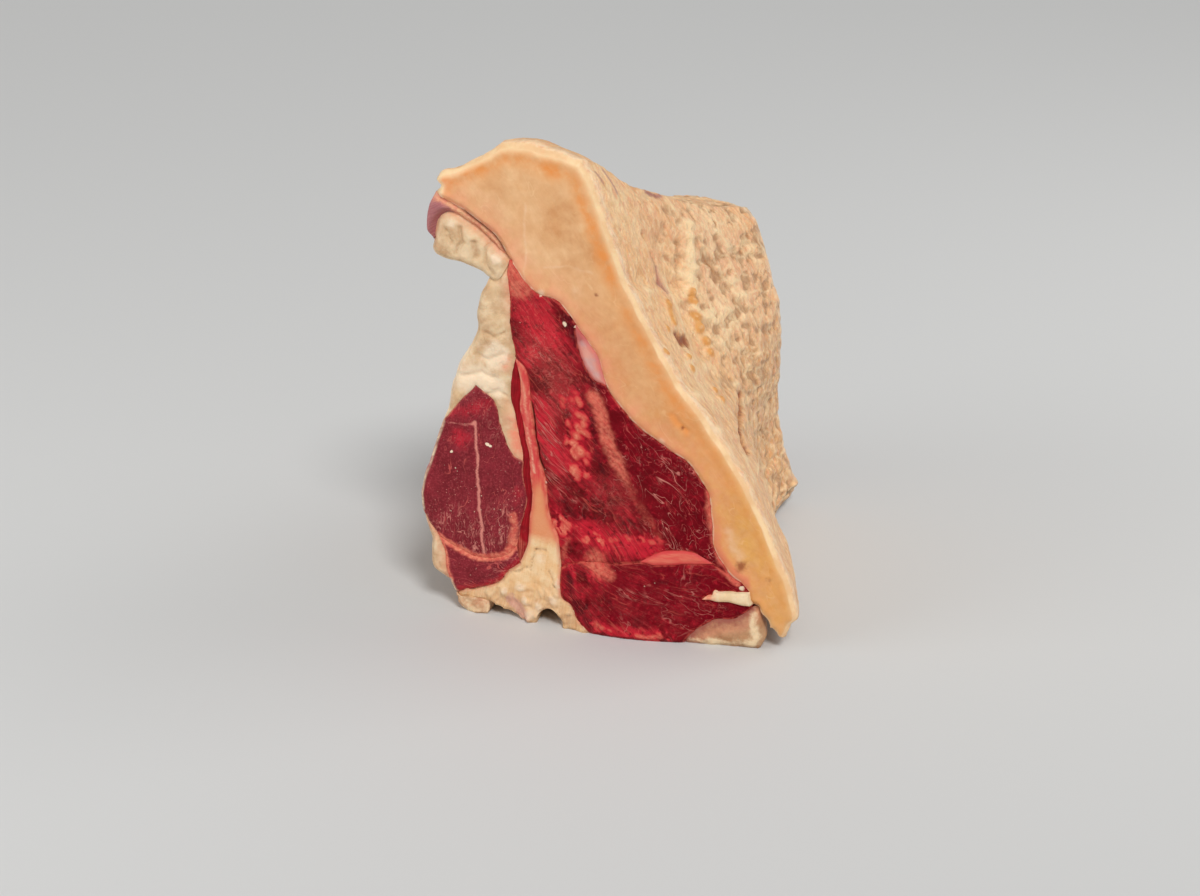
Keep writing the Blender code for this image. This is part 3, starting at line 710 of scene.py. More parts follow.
SKIN_GROOVES = [([(101, 37), (110, 42), (117, 42), (124, 39), (128, 47)], 1.2, 1.1),
                ([(99, 75), (106, 72), (114, 69), (122, 64)], 0.8, 1),
                ([(110, 97), (118, 105), (126, 110), (134, 112)], 0.6, 1.3)]
SKIN_RIDGES = [([(90, 89), (98, 85), (106, 82), (116, 78), (128, 71)], 0.9, 1.6),
               ([(122, 50), (132, 52), (142, 50), (150, 46)], 0.7, 1.4)]
CREASE = [(192, 84), (199, 76), (203, 62), (206, 48), (210, 42), (217, 44)]
HOLE = [(151, 31), (155, 33), (153, 41), (156, 40)]
BRUISES = [([(77, 18), (81, 19), (85, 21)], 1.6), ([(80, 7), (84, 9)], 1.1),
           ([(75, 60), (76, 68), (75, 75)], 1.4)]
DENT = (84, 72)
SKIN_SLANT = math.radians(24)

# The nick in the cut fat, and how strong the orange band inside the rim is on the way round it
NICK = [(35.6, 100), (38, 96.5), (41.6, 93.5)]
BAND_GIRTH = [0, 8, 25, 38, 52, 66, 78, 90, 104, 118, 130, 150, 172, 190, 206, 240, 290]
BAND_STRENGTH = [0.5, 0.9, 0.9, 0.5, 0.8, 0.95, 0.6, 0.75, 1, 1, 0.55, 0.7, 0.85, 0.7, 0.5, 0.35,
                 0.2]


def grain_bent(wrap):
    """Places on the outside that stray, so that grooves drawn on them aren't straight."""
    return wrap + 1.6 * np.column_stack([clouds(wrap, 6, 48), clouds(wrap, 6, 49)])


def skin_grain(layer):
    """Places on the outside turned along its fibres, which slant back, and bent by noise."""
    wrap = layer.wrap()
    bent = wrap + 5 * np.column_stack([clouds(wrap, 16, 51), clouds(wrap, 16, 52)])
    return np.column_stack([bent[:, 0] * math.cos(SKIN_SLANT) + bent[:, 1] * math.sin(SKIN_SLANT),
                            bent[:, 1] * math.cos(SKIN_SLANT) - bent[:, 0] * math.sin(SKIN_SLANT)])


def long_spots(wrap, places, shares=DRAWN_OUT):
    """Soft spots that are drawn out in the depth, all together, from 0 to 1."""
    return drawn(grain_bent(wrap) * shares,
                 *((1, place * shares, radius) for place, radius in places))


def long_stroke(wrap, line, width):
    """A soft stroke that is drawn out in the depth."""
    return stroke(grain_bent(wrap) * DRAWN_OUT, np.array(line) * DRAWN_OUT, width)


def skin_pits(layer):
    """How dimpled the outside is, 0 to 1: noise pits drawn out in the depth, upright ones low
    down, more of them on the far half, and those that have their own places."""
    wrap = layer.wrap()
    girth, depth = wrap.T
    grain = skin_grain(layer)
    crumple = 0.25 + 0.75 * rise(depth, 35, 80)
    long = rise(clouds(grain * (1, 0.5), 4.6, 56), 0, 0.42)
    upright = rise(clouds(grain * (0.42, 0.85), 3.6, 58), 0, 0.42)
    low = rise(girth, 140, 165)
    pits = long * (1 - 0.6 * low) + upright * (0.25 + 0.55 * low)
    return np.clip(0.85 * crumple * pits + 0.9 * long_spots(wrap, PITS), 0, 1)


def skin_ridges(layer):
    """How much of a thin raised thread there is, 0 to 1: where a drawn-out noise is near 0."""
    return 1 - rise(np.abs(clouds(skin_grain(layer) * (0.5, 0.6), 5.5, 57)), 0, 0.16)


def fat_skin_swell(layer):
    """Relief of the fat's outside: slow lumps, slanting threads, dimples that grow on the far
    half, thin ridges, and the grooves, nodules, lumps, hole and crease in their places."""
    wrap = layer.wrap()
    girth, depth = wrap.T
    crumple = 0.3 + 0.7 * rise(depth, 40, 85)
    swell = clouds(wrap, 30, 53) + 0.5 * clouds(wrap * (1, 0.6), 9, 54)
    swell += 0.3 * clouds(skin_grain(layer) * (0.25, 1), 3.4, 55)
    swell += 0.35 * crumple * skin_ridges(layer) - 0.95 * skin_pits(layer)
    for line, deep, width in SKIN_GROOVES:
        swell -= deep * long_stroke(wrap, line, width)
    for line, high, width in SKIN_RIDGES:
        swell += high * long_stroke(wrap, line, width)
    swell += 1.7 * long_spots(wrap, NODULES, DRAWN_UPRIGHT) + 0.9 * long_spots(wrap, PALE_LUMPS)
    swell -= 2.2 * long_stroke(wrap, CREASE, 2.2) + 1.9 * long_stroke(wrap, HOLE, 1.9)
    swell -= 0.9 * long_spots(wrap, [(DENT, 2.4)])
    foot = rise(girth, 225, 262) * rise(depth, 105, 140)
    first, second, _number = cells(grain_bent(wrap) * (1, 0.55), 9, 59)
    return swell + foot * 3 * (np.minimum(second - first, 0.6) - 0.25)


def fat_cap_relief(layer):
    """Lift of the cut fat and swell of its outside."""
    face = layer.flat()
    lift = cut_waves(layer) + 0.25 * clouds(face, 6, 61)
    lift += 0.5 * hump(layer.seam, 2.6, 1.6) - 0.35 * hump(layer.rim, 6, 3)
    lift -= rounding(layer, 3.2) + seam_groove(layer, 0.5, 0.8)
    lift -= 0.8 * stroke(face[:, :2], NICK, 1.2)
    fade = rim_fade(layer)
    return lift, fat_skin_swell(layer) * fade + 0.35 * clouds(layer.wrap(), 5, 62) * (1 - fade)


def fat_cap_marks(layer):
    """Orange band inside the rim, blush by the meat, gold low down, tan patches, dark dots, a
    painted highlight along the rim; outside, rose zones, a painted pool of light, a grey zone of
    painted shade, painted shade in the pits, pale lumps and ridges that carry a painted highlight,
    amber nodules, bruises, and a red-brown hole and creases, part staining and part painted shade."""
    face, wrap, x, z = unsteady(layer), layer.wrap(), layer.x, layer.z
    girth, depth = wrap.T
    band_middle = np.interp(girth, [0, 40, 70, 120, 300], [3, 5, 6, 4.5, 3.5])
    band = np.interp(girth, BAND_GIRTH, BAND_STRENGTH) * hump(layer.rim, band_middle, 3.2)
    by_meat = layer.away_from(["loin_cap_low", "loin_cap_top", "sinew_cap", "groove_top"])
    strip = rise(-z, -66, -42) * (1 - rise(layer.away_from(["loin_cap_low"]), 2.6, 4.6))
    ridges = sum(long_stroke(wrap, line, width) for line, _high, width in SKIN_RIDGES)
    crease = (0.75 + 0.7 * clouds(wrap, 7, 64)) * long_stroke(wrap, CREASE, 2)
    grooves = sum(long_stroke(wrap, line, 0.8) for line, _deep, _width in SKIN_GROOVES)
    grain = np.column_stack([skin_grain(layer), np.full(len(girth), 30.0)]) * MM
    return {
        "flow": np.where(layer.side[:, None] > 0, grain, combed(layer, -52, 6)),
        "orange": band,
        "blush": np.exp(-by_meat / 5.5),
        "gold": (1 - rise(z - 0.25 * x, 25, 115)) * (0.6 + 0.4 * rise(z, 14, 46)),
        "light_cut": rise(z - 0.5 * x, 130, 175),
        "tan": drawn(face, (1, (-14, 180), 9), (1, (3, 166), 9), (0.7, (-12, 170), 7),
                     (0.6, (16, 128), 7), (0.5, (-38, 186), 8)),
        "dots": layer.near * drawn(face, (1, (3, 148.6), 0.9), (1, (22.3, 143.7), 0.9),
                                   (1, (39.7, 94.6), 0.9), (0.95, (66.3, 37), 2.7),
                                   (0.35, (78, 32), 2.4)),
        "nick": layer.near * stroke(face, NICK, 1.5),
        "strip": layer.near * strip,
        # A painted highlight along the rim, brightest along the top, and the pale lip at the tail's
        # tip.
        "edge": np.clip(hump(layer.rim, 0, 1.7) * (0.35 + 0.65 * rise(z, 150, 172))
                        + spot(face, (-66, 184), 3.6), 0, 1),
        "pale": drawn(face, (0.55, [(60.5, 51), (62, 46), (65, 42)], 3),
                      (0.45, [(-27.3, 183), (-27.6, 149)], 0.8),
                      (0.4, [(-20, 158), (-10, 160), (2, 157)], 0.8), (0.4, (-6, 149), 3),
                      (0.6, (-67, 184), 3.5), (1, (-21, 147.6), 1.6), (0.8, (31, 88.5), 1.6)),
        # Where the painted shade of the dimples and pits goes.
        "hollow": skin_pits(layer),
        "thread": skin_ridges(layer),
        "cream": np.clip(long_spots(wrap, PALE_LUMPS) + ridges, 0, 1),
        "far_half": rise(depth, 40, 90),
        "light": np.clip(spot(wrap * (1, 0.6), (143, 54), 17)
                         + drawn(wrap, (0.8, (170, 32), 17), (0.6, (88, 20), 18),
                                 (0.7, (90, 115), 18)), 0, 1),
        "shade": np.clip(rise(girth, 148, 178) * rise(depth, 80, 112)
                         + 0.8 * spot(wrap, (205, 70), 22), 0, 1),
        "rose": np.clip(spot(wrap, (112, 112), 46) * rise(depth, 60, 90)
                        + 0.6 * spot(wrap, (96, 55), 22)
                        + 0.8 * long_stroke(wrap, [(113, 42), (124, 39), (130, 47)], 2.6), 0, 1),
        "amber": long_spots(wrap, NODULES, DRAWN_UPRIGHT),
        "bruise": np.clip(sum(stroke(wrap, line, width) for line, width in BRUISES)
                          + 0.9 * long_stroke(wrap, [(117, 42), (124, 39), (128, 47)], 1.3), 0, 1),
        # The hole, crease and grooves: part staining, part painted shade.
        "brown": np.clip(long_stroke(wrap, HOLE, 1.9) + crease + 0.3 * grooves, 0, 1),
    }


def meat_relief(layer, lift, rough):
    """A cut muscle's face: waves, a bulge between its seams, and torn fibres."""
    face = layer.flat()
    height = cut_waves(layer) + lift * (1 - np.exp(-layer.seam / 5))
    height += rough * (clouds(face, 4.5, 71) + 0.6 * clouds(face, 2, 72))
    return height - rounding(layer, 1.6) - seam_groove(layer, 0.45, 0.7)


def side_swell(layer, amount):
    """The slack outside of a soft layer: slow swells and lengthwise wrinkles."""
    wrap = layer.wrap()
    return rim_fade(layer) * amount * (clouds(wrap, 20, 73) + 0.45 * clouds(wrap, 7, 74)
                                       + 0.25 * clouds(wrap * (1, 0.3), 2.5, 75))


SALMON_SEAM = [(2, 105), (4.5, 98), (6.8, 91), (9, 84), (12, 77), (17, 67), (24, 56), (31, 45)]
SALMON_GRAINS = [(-8, 102), (-5, 94), (-4.5, 86), (-4.5, 78), (-4, 71)]
BRIGHT_BAND = [(-22.5, 97), (-18, 84), (-12.5, 73)]
SLIT = [(-27, 97), (-25.2, 88), (-23.3, 77), (-21.9, 66)]


def loin_relief(layer):
    """Rough fibres on the left, fat grains, a groove along the salmon seam, the slit by the rib."""
    face = unsteady(layer)
    left = stroke(face, [(-18, 130), (-14, 95), (-10, 65), (0, 48)], 13)
    lift = meat_relief(layer, 0.7, 0.35)
    lift += left * 0.55 * clouds(loin_flow(layer) / MM * (0.16, 1, 1), 1.7, 76)
    lift += 0.9 * stroke(face, SALMON_GRAINS, 5.5) * lobes(layer, 5.4, 85, 0.9)
    lift -= 0.5 * stroke(face, SALMON_SEAM, 2) + 3 * stroke(face, SLIT, 1.4)
    lift += 0.9 * spot(face, (-22.4, 65.6), 1.2) + 0.8 * spot(face, (-19.8, 64.2), 1)
    return lift + 0.9 * spot(face, (-10.4, 135.3), 1.3), np.zeros(len(lift))


def loin_flow(layer):
    """The loin's fibres, down to the right."""
    return combed(layer, -47, 4)


def loin_marks(layer):
    """Where the loin is bright, striated, salmon, white-flecked, webbed with marbling or dark; the
    dark includes painted shade in the slit by the rib.
    """
    face, x, z = unsteady(layer), layer.x, layer.z
    right = rise(x - np.interp(-z, [-110, -77, -52, -36], [2, 6, 22, 34]), -3, 4)
    grains = stroke(face, SALMON_GRAINS, 5.5)
    low_grains = drawn(face, (1, [(-16, 48), (-6, 44), (6, 40)], 4), (0.8, (-20, 55), 3),
                       (0.6, [(12, 44), (30, 44)], 3))
    upper = 1.3 * stroke(face, [(-34, 159), (-30, 149)], 5) * rise(z, 132, 150)
    seam = (0.34 + 0.66 * rise(z, 64, 78)) * stroke(face, SALMON_SEAM, 3)
    return {
        "flow": loin_flow(layer),
        "right": right,
        "deep": 0.5 * right,
        "bright": drawn(face, (1, [(-24, 140), (-18, 128)], 8), (1.2, BRIGHT_BAND, 4.6),
                        (1, [(-2, 46), (14, 40), (30, 40)], 6), (0.5, (18, 70), 6),
                        (0.8, (-14, 40), 6), (0.8, (-27.6, 118), 4.5), (0.8, (10.5, 103), 4.5),
                        (0.7, SALMON_GRAINS, 5)),
        "strands": drawn(face, (1, BRIGHT_BAND, 6), (0.5, [(-20, 66), (-8, 58)], 4)),
        "band": stroke(face, BRIGHT_BAND, 4.4),
        "mesh": drawn(face, (1, [(-21, 122), (-15, 113), (-12, 103)], 7), (0.4, (12, 62), 9),
                      (0.3, [(-26, 140), (-21, 126)], 8)),
        "clumps": np.maximum(rise(grains, 0.12, 0.75) * lobes(layer, 5.4, 85, 0.9),
                             rise(low_grains, 0.2, 0.8) * lobes(layer, 4.2, 87, 0.7)),
        "salmon": np.clip(upper + seam + drawn(
            face, (1, [(52.5, 68), (54.5, 52), (58.5, 39), (63, 33)], 2.6),
            (0.9, (3.5, 33), 4.5), (0.4, [(-9, 40), (-12, 30)], 2)), 0, 1),
        # The slit's part is painted shade; the other strokes are darker muscle.
        "dark": np.clip(1.2 * stroke(face, SLIT, 1.7) * layer.near + drawn(
            face, (0.75, [(-9, 137), (-4, 128), (0, 117), (4, 108)], 3.2),
            (0.6, [(0.5, 101), (1.8, 90), (3.5, 80), (6, 72)], 1.6), (0.4, (13, 68), 6),
            (0.5, [(-17, 60), (-10, 54), (-2, 50)], 2.2)), 0, 1),
        "white": layer.near * drawn(
            face, (1, (-22.4, 65.6), 1), (1, (-19.8, 64.2), 0.9), (1, (-10.4, 135.3), 1),
            (1, (-21.2, 146.8), 0.9), (1, (-6.1, 134), 0.8), (1, (34.2, 86.5), 0.9),
            (0.9, [(-27.6, 99), (-25.9, 88), (-24.4, 80)], 0.5)),
    }


def lower_relief(layer):
    """Fibres that fan out to the right."""
    lift = meat_relief(layer, 0.6, 0.25)
    lift += 0.45 * clouds(lower_flow(layer) / MM * (0.13, 1, 1), 1.8, 77)
    return lift, np.zeros(len(lift))


def lower_flow(layer):
    """The lower muscle's fibres, fanning out of its top left: the distance and the turned arc."""
    x = layer.x + 38 + 2 * clouds(layer.flat(), 22, 45)
    z = layer.z - 44 + 2 * clouds(layer.flat(), 22, 47)
    return with_sides(layer, np.hypot(x, z), 62 * np.arctan2(z, x))


def lower_marks(layer):
    """Bright spots at the foot, a salmon blob at the top left, pale strands to the right."""
    face, x, z = unsteady(layer), layer.x, layer.z
    clumps = drawn(face, (1, (4.5, 28.5), 4), (0.9, [(4, 4), (12, 3)], 2),
                   (0.9, [(22, 1.5), (36, 3)], 2.2))
    return {
        "flow": lower_flow(layer),
        "bright": drawn(face, (1, [(0, 6), (12, 3), (30, 3)], 3), (0.4, [(14, 22), (40, 17)], 3.5),
                        (0.8, [(-9, 33), (-6, 24), (-5, 16)], 2.2)),
        "strands": 0.6 * stroke(face, [(16, 20), (32, 20), (46, 23)], 4),
        "clumps": clumps * lobes(layer, 2.8, 86, 0.7),
        "salmon": drawn(face, (1.2, [(1, 31), (5, 29), (9, 28)], 3.2), (0.7, [(5, 5), (8, 4)], 1.6),
                        (0.7, [(24, 2), (33, 2.5)], 1.2), (0.9, [(58, 34.5), (66, 29.5)], 1.6)),
        "dark": drawn(face, (0.7, [(-8, 24), (-6, 14), (2, 4)], 3), (0.6, [(52, 18), (66, 17)], 3),
                      (0.6, [(30, 27), (48, 29)], 3), (0.6, (24, 8), 5), (0.5, (8, 20), 5)),
        "mesh": 0.3 * stroke(face, [(20, 12), (45, 14)], 7),
        "band": 0.3 * stroke(face, [(8, 24), (24, 22), (44, 20)], 3.5),
        "white": spot(face, (67.6, 27.6), 1.2) * layer.near,
        "right": 0.3 * rise(x, 5, 25),
        "deep": 0.75 * rise(x, 2, 14) * rise(z, 2, 9),
    }


FILLET_SEAM = [(-50.4, 87.5), (-50, 78), (-49.7, 66.5), (-48.6, 48.4), (-47.1, 28.5)]


def fillet_relief(layer):
    """Smooth and full, with a groove down its middle seam."""
    groove = 0.35 * stroke(unsteady(layer), FILLET_SEAM, 0.8)
    return meat_relief(layer, 1.1, 0.12) - groove, side_swell(layer, 0.7)


def fillet_marks(layer):
    """Middle seam, red patch, white dots and flecks, veins at the foot, salmon rim below."""
    face = unsteady(layer)
    salmon_reach = 1.9 + 0.8 * clouds(layer.flat(), 8, 79)
    return {
        "flow": combed(layer, 80),
        "seam_line": drawn(face, (1, FILLET_SEAM, 0.7), (0.6, [(-62, 85.8), (-50.7, 87)], 0.5)),
        "bright": drawn(face, (1, (-57, 80), 4.5), (0.6, [(-62, 91), (-52, 93)], 4),
                        (0.5, (-46, 96), 5), (0.4, [(-33, 60), (-31, 45)], 3)),
        "dots": np.clip(stroke(face, [(-62, 56), (-38, 50)], 12), 0.15, 1),
        "veins": drawn(face, (1, [(-62, 40), (-50, 34), (-38, 42)], 8),
                       (0.4, [(-40, 84), (-46, 96)], 5)),
        "salmon": np.clip(beside(layer, salmon_reach, "fillet_base")
                          + 0.7 * stroke(face, [(-36, 29), (-34, 37), (-33, 47)], 2), 0, 1),
        "white": layer.near * drawn(face, (1, (-61.3, 74.2), 1), (1, (-45.2, 78.2), 0.8),
                                    (1, (-43.6, 77.6), 0.8)),
    }


def small_fillet_relief(layer):
    """A little fuller and rougher than the fillet above it."""
    return meat_relief(layer, 0.9, 0.25), side_swell(layer, 0.5)


def small_fillet_marks(layer):
    """Brown red muscle under the fillet, with a salmon top and a pale lower edge."""
    return {
        "flow": combed(layer, 5),
        "salmon": beside(layer, 1.6, "fillet_base", "hip_muscle"),
        "bright": beside(layer, 2.5, "psoas_base"),
        "veins": 0.6 * rise(layer.x, -52, -36),
        "dots": np.full(len(layer.x), 0.25),
    }


def strap_relief(layer):
    """Nearly flat; none of its sides show."""
    return meat_relief(layer, 0.5, 0.12), np.zeros(len(layer.x))


def strap_marks(layer):
    """Pale towards its foot."""
    return {"flow": combed(layer, 86, 1.5), "pale": 0.6 * beside(layer, 9, "strap_base")}


SUET_FOLDS = [([(-50, 118), (-44, 116), (-38, 119)], 1.2),
              ([(-56, 108), (-48, 110), (-42, 108)], 1.2),
              ([(-47, 128), (-41, 126), (-37, 128)], 0.8),
              ([(-45, 100.5), (-40, 103), (-36, 101)], 0.9)]


def suet_relief(layer):
    """Soft lobes and folds, deeper down the outside."""
    face = unsteady(layer)
    lift = cut_waves(layer) + 0.55 * folds(layer, 12, 81) * rise(layer.z, 60, 95)
    lift += 0.35 * clouds(layer.flat(), 4, 82) - rounding(layer, 3.6)
    lift -= sum(stroke(face, line, width) for line, width in SUET_FOLDS)
    wrap = layer.wrap()
    bent = wrap + 5 * np.column_stack([clouds(wrap, 13, 88), clouds(wrap, 13, 89)])
    first, second, _number = cells(bent * (1, 0.55), 12, 83)
    crease = np.exp(-3 * (second - first)) * rise(clouds(wrap, 17, 90), -0.25, 0.3)
    swell = 0.7 * clouds(wrap, 22, 94) - 1.5 * crease + 0.45 * clouds(wrap, 5, 84)
    return lift - seam_groove(layer, 0.5, 0.8), swell * rim_fade(layer, 6)


def suet_marks(layer):
    """Tan painted shade in the folds, salmon towards the rib and in the wedge beside it, pale
    patches, and a painted rim light along its lower outer edge.
    """
    face, z = unsteady(layer), layer.z
    by_loin = 0.5 * np.exp(-layer.away_from(["suet_inner"]) / 2) * rise(z, 120, 150)
    # A painted rim light along the outer edge below the lump.
    painted_rim_light = 0.7 * np.exp(-layer.rim / 2.5) * (1 - rise(z, 118, 130))
    return {
        "flow": combed(layer, 70),
        "hollow": 1 - folds(layer, 12, 81),
        "salmon": np.clip(beside(layer, 4.5, "suet_strap") * (1 - rise(z, 84, 104))
                          + 0.65 * spot(face, (-36, 116), 3.5) + by_loin, 0, 1),
        "white": np.clip(drawn(face, (1, (-41, 119), 6.5), (1, (-50, 106), 7.5),
                               (0.8, (-40, 104), 5)) + painted_rim_light, 0, 1),
    }


TAIL_FOLDS = [([(-42.7, 169), (-45.5, 163), (-44.6, 157), (-41, 153)], 0.8),
              ([(-56, 172), (-55, 166), (-58, 161)], 0.9), ([(-50, 166), (-49, 160)], 0.9),
              ([(-63, 170), (-60, 165)], 0.8)]


def tail_relief(layer):
    """A knobbly lump with an outlined lobe at its right."""
    face = unsteady(layer)
    lift = 0.8 * cut_waves(layer) + 0.8 * folds(layer, 10, 91) - rounding(layer, 3.6)
    lift += 0.4 * clouds(layer.flat(), 3.5, 92) + spot(face, (-40.5, 161), 4.5)
    lift -= sum(1.3 * stroke(face, line, width) for line, width in TAIL_FOLDS)
    first, second, _number = cells(layer.wrap() * (1, 0.8), 8, 93)
    swell = 2 * (1 - np.exp(-3 * (second - first))) - 1.2
    return lift - seam_groove(layer, 0.5, 0.9), swell * rim_fade(layer, 5)


def tail_marks(layer):
    """Painted shade: olive brown in the hollows of the tail's fat, and tan between its lobes."""
    face = unsteady(layer)
    hollows = sum(0.8 * stroke(face, line, width) for line, width in TAIL_FOLDS)
    return {
        "flow": combed(layer, 40),
        "hollow": np.clip(0.6 - 0.6 * folds(layer, 10, 91) + hollows
                          + spot(face, (-65.5, 164), 4) + 0.6 * spot(face, (-60, 168), 4), 0, 1),
        "salmon": 0.5 * np.exp(-layer.away_from(["groove_low"]) / 1.2),
        "white": drawn(face, (0.8, (-40, 160), 3), (0.6, (-60, 173), 3)),
    }


def flank_relief(layer):
    """Thin and nearly flat, with slack wrinkles outside."""
    lift = 0.6 * cut_waves(layer) - rounding(layer, 1.2) - seam_groove(layer, 0.5, 0.8)
    return lift, side_swell(layer, 0.5)


def flank_marks(layer):
    """Dried purple muscle, paler and pinker towards the folded tip, with painted shade in the
    groove.
    """
    return {
        "flow": combed(layer, 20),
        "pale": np.clip(stroke(unsteady(layer), [(-66, 184), (-56, 181)], 3)
                        + 0.9 * rise(layer.x, -62, -55) * layer.near, 0, 1),
        "dark": 0.9 * beside(layer, 0.9, "groove_top") * rise(layer.x, -60, -52),
    }


def hip_relief(layer):
    """Small lobes, with slack wrinkles outside."""
    lift = 0.6 * cut_waves(layer) + 0.8 * folds(layer, 6, 95) - rounding(layer, 3.2)
    return lift - seam_groove(layer, 0.4, 0.8), side_swell(layer, 1)


def hip_marks(layer):
    """Painted shade in the hollows between the lobes, salmon beside the meat."""
    return {"flow": combed(layer, 10), "hollow": 1 - folds(layer, 6, 95),
            "salmon": 0.5 * np.exp(-layer.seam / 2)}


CRACKS = [[(-23.5, 33.2), (-25.5, 28.5), (-26.3, 23.6)],
          [(-17.2, 24.2), (-15.6, 21.5), (-14.4, 18.4)],
          [(-36.7, 21.3), (-32, 22.4), (-27.6, 24.8)], [(-24, 33.4), (-19, 34.2)]]

# Torn bits at the bone's foot: place on the face, radius and how far they stand out
NUBS = [((-26, 4), 2.6, 2.2), ((-20.5, 3), 2.2, 2.6), ((-22, 8.5), 2.4, 1.6), ((-29, 9), 2, 1.4),
        ((-3, 8), 2.4, 1.8), ((0.5, 3), 1.8, 1.6), ((-15, 12), 2.4, 1.2), ((-38, 12), 2.2, 1.3),
        ((-12, 20), 3, 0.9), ((-31, 15), 3, 1)]

# The pale line down the rib, beside the slit
RIB_LINE = [(-30.6, 113), (-29.4, 105), (-28.4, 97), (-27.2, 88), (-25.6, 78), (-24.4, 68)]


def bone_relief(layer):
    """A sawn face: nearly flat, pitted, with short cracks and a broken foot."""
    face = unsteady(layer)
    foot = 1 - rise(layer.z, 8, 26)
    lift = 0.7 * cut_waves(layer) + 0.3 + foot * clouds(layer.flat(), 3.4, 101)
    lift += 1.6 * foot * (folds(layer, 4.4, 102) - 0.6) - rounding(layer, 1)
    lift -= sum(0.8 * stroke(face, line, 0.5) for line in CRACKS)
    lift += sum(height * spot(face, place, radius) for place, radius, height in NUBS)
    wrap = layer.wrap()
    pits = 0.5 * clouds(wrap, 7, 103) + 0.4 * clouds(wrap, 3, 104)
    return lift - seam_groove(layer, 0.4, 0.7), rim_fade(layer, 2.5) * pits


def bone_marks(layer):
    """Salmon rib, orange shaft, cream body, tan feet, brown cracks and a purple grey bit."""
    face, z = unsteady(layer), layer.z
    top = 0.8 * rise(-z, -104, -90) * rise(z, 56, 68)
    right_edge = beside(layer, 1.4, "rib_right") * rise(z, 50, 70)
    both_edges = 0.8 * beside(layer, 1.5, "rib_right", "rib_left") * rise(z, 26, 42)
    cracks = sum(0.75 * stroke(face, line, 0.4) for line in CRACKS)
    return {
        "flow": combed(layer, 82, 1),
        "rib": rise(z, 56, 74),
        "shaft": rise(z, 33, 44),
        "red": np.clip(top + right_edge + both_edges, 0, 1),
        "tan": np.clip(1 - rise(z, 6, 20) + 0.5 * spot(face, (-12, 16), 5), 0, 1),
        "crack": np.clip(cracks + spot(face, (-7, 6.2), 1.1)
                         + 0.7 * beside(layer, 0.8, "psoas_base"), 0, 1),
        "purple": stroke(face, [(-35.5, 8.5), (-29, 3)], 3),
        "white": drawn(face, (0.6, (-21, 30), 4),
                       *((0.8, place, radius) for place, radius, _high in NUBS)),
        "line": stroke(face, RIB_LINE, 0.5) * layer.near,
    }


def band_relief(layer, proud=0):
    """A narrow band of sinew or fat, standing a little proud of the meat."""
    lift = cut_waves(layer) + 0.5 * (1 - np.exp(-layer.seam / 1.5)) + proud
    lift += 0.15 * clouds(layer.flat(), 3, 105) - 0.3 * hump(layer.seam, 0, 0.5)
    return lift, np.zeros(len(lift))


def strand_relief(layer):
    """A band that lies on the meat."""
    return band_relief(layer, 1.3)


def band_marks(layer):
    """Salmon at the strand's thin end, maroon along the sinew's top."""
    face = unsteady(layer)
    return {"flow": combed(layer, -60 if layer.name == "sinew" else 0),
            "salmon": spot(face, (50.5, 21), 5), "shade": spot(face, (-5, 131), 5)}


def spine_relief(layer):
    """A knobbly tip of gristle, ragged at its foot."""
    lift = cut_waves(layer) + 0.6 * folds(layer, 5.5, 111) + 0.3 * clouds(layer.flat(), 3, 112)
    return lift - rounding(layer, 3.2) - seam_groove(layer, 0.6, 0.9), side_swell(layer, 0.8)


def spine_marks(layer):
    """Cream where it is dry, salmon a little below the meat, maroon beside it."""
    by_meat = layer.away_from(["spine_top"])
    return {
        "flow": combed(layer, 15),
        # Where the painted shade between the lobes goes.
        "hollow": 1 - folds(layer, 5.5, 111),
        "white": drawn(unsteady(layer), (1, (55, 0.5), 2.5), (0.7, [(72, 15), (73, 3)], 2.6),
                       (0.5, [(46, 2), (70, 2.5)], 2.2)),
        "salmon": 0.5 * np.exp(-(by_meat - 4) ** 2 / 6),
        "dark": np.exp(-by_meat / 3.2),
    }


def tag_relief(layer):
    """A torn bit of gristle: fringed, with lobes on its face and outside."""
    lift = 1.6 * folds(layer, 3.4, 113) + 0.8 * clouds(layer.flat(), 2.2, 114)
    wrap = layer.wrap()
    return lift - rounding(layer, 2), 1.5 * clouds(wrap, 3.4, 115) + 0.7 * clouds(wrap, 1.6, 116)


def tag_marks(layer):
    """Whitish, with pink in its middle."""
    # The hollow mark carries painted shade between the lobes.
    return {"flow": combed(layer, 80), "hollow": 0.5 * (1 - folds(layer, 3.4, 113)),
            "white": 0.45 + 0.3 * clouds(layer.flat(), 4, 117),
            "salmon": 0.5 * np.clip(0.5 + clouds(layer.flat(), 5, 118), 0, 1)}


# ------------------------------------------------------------------ materials

PER_MM = 1000.0
TO_SOCKET = {float: "NodeSocketFloat", tuple: "NodeSocketVector"}
NOWHERE = (0.0, 0.0, 0.0)


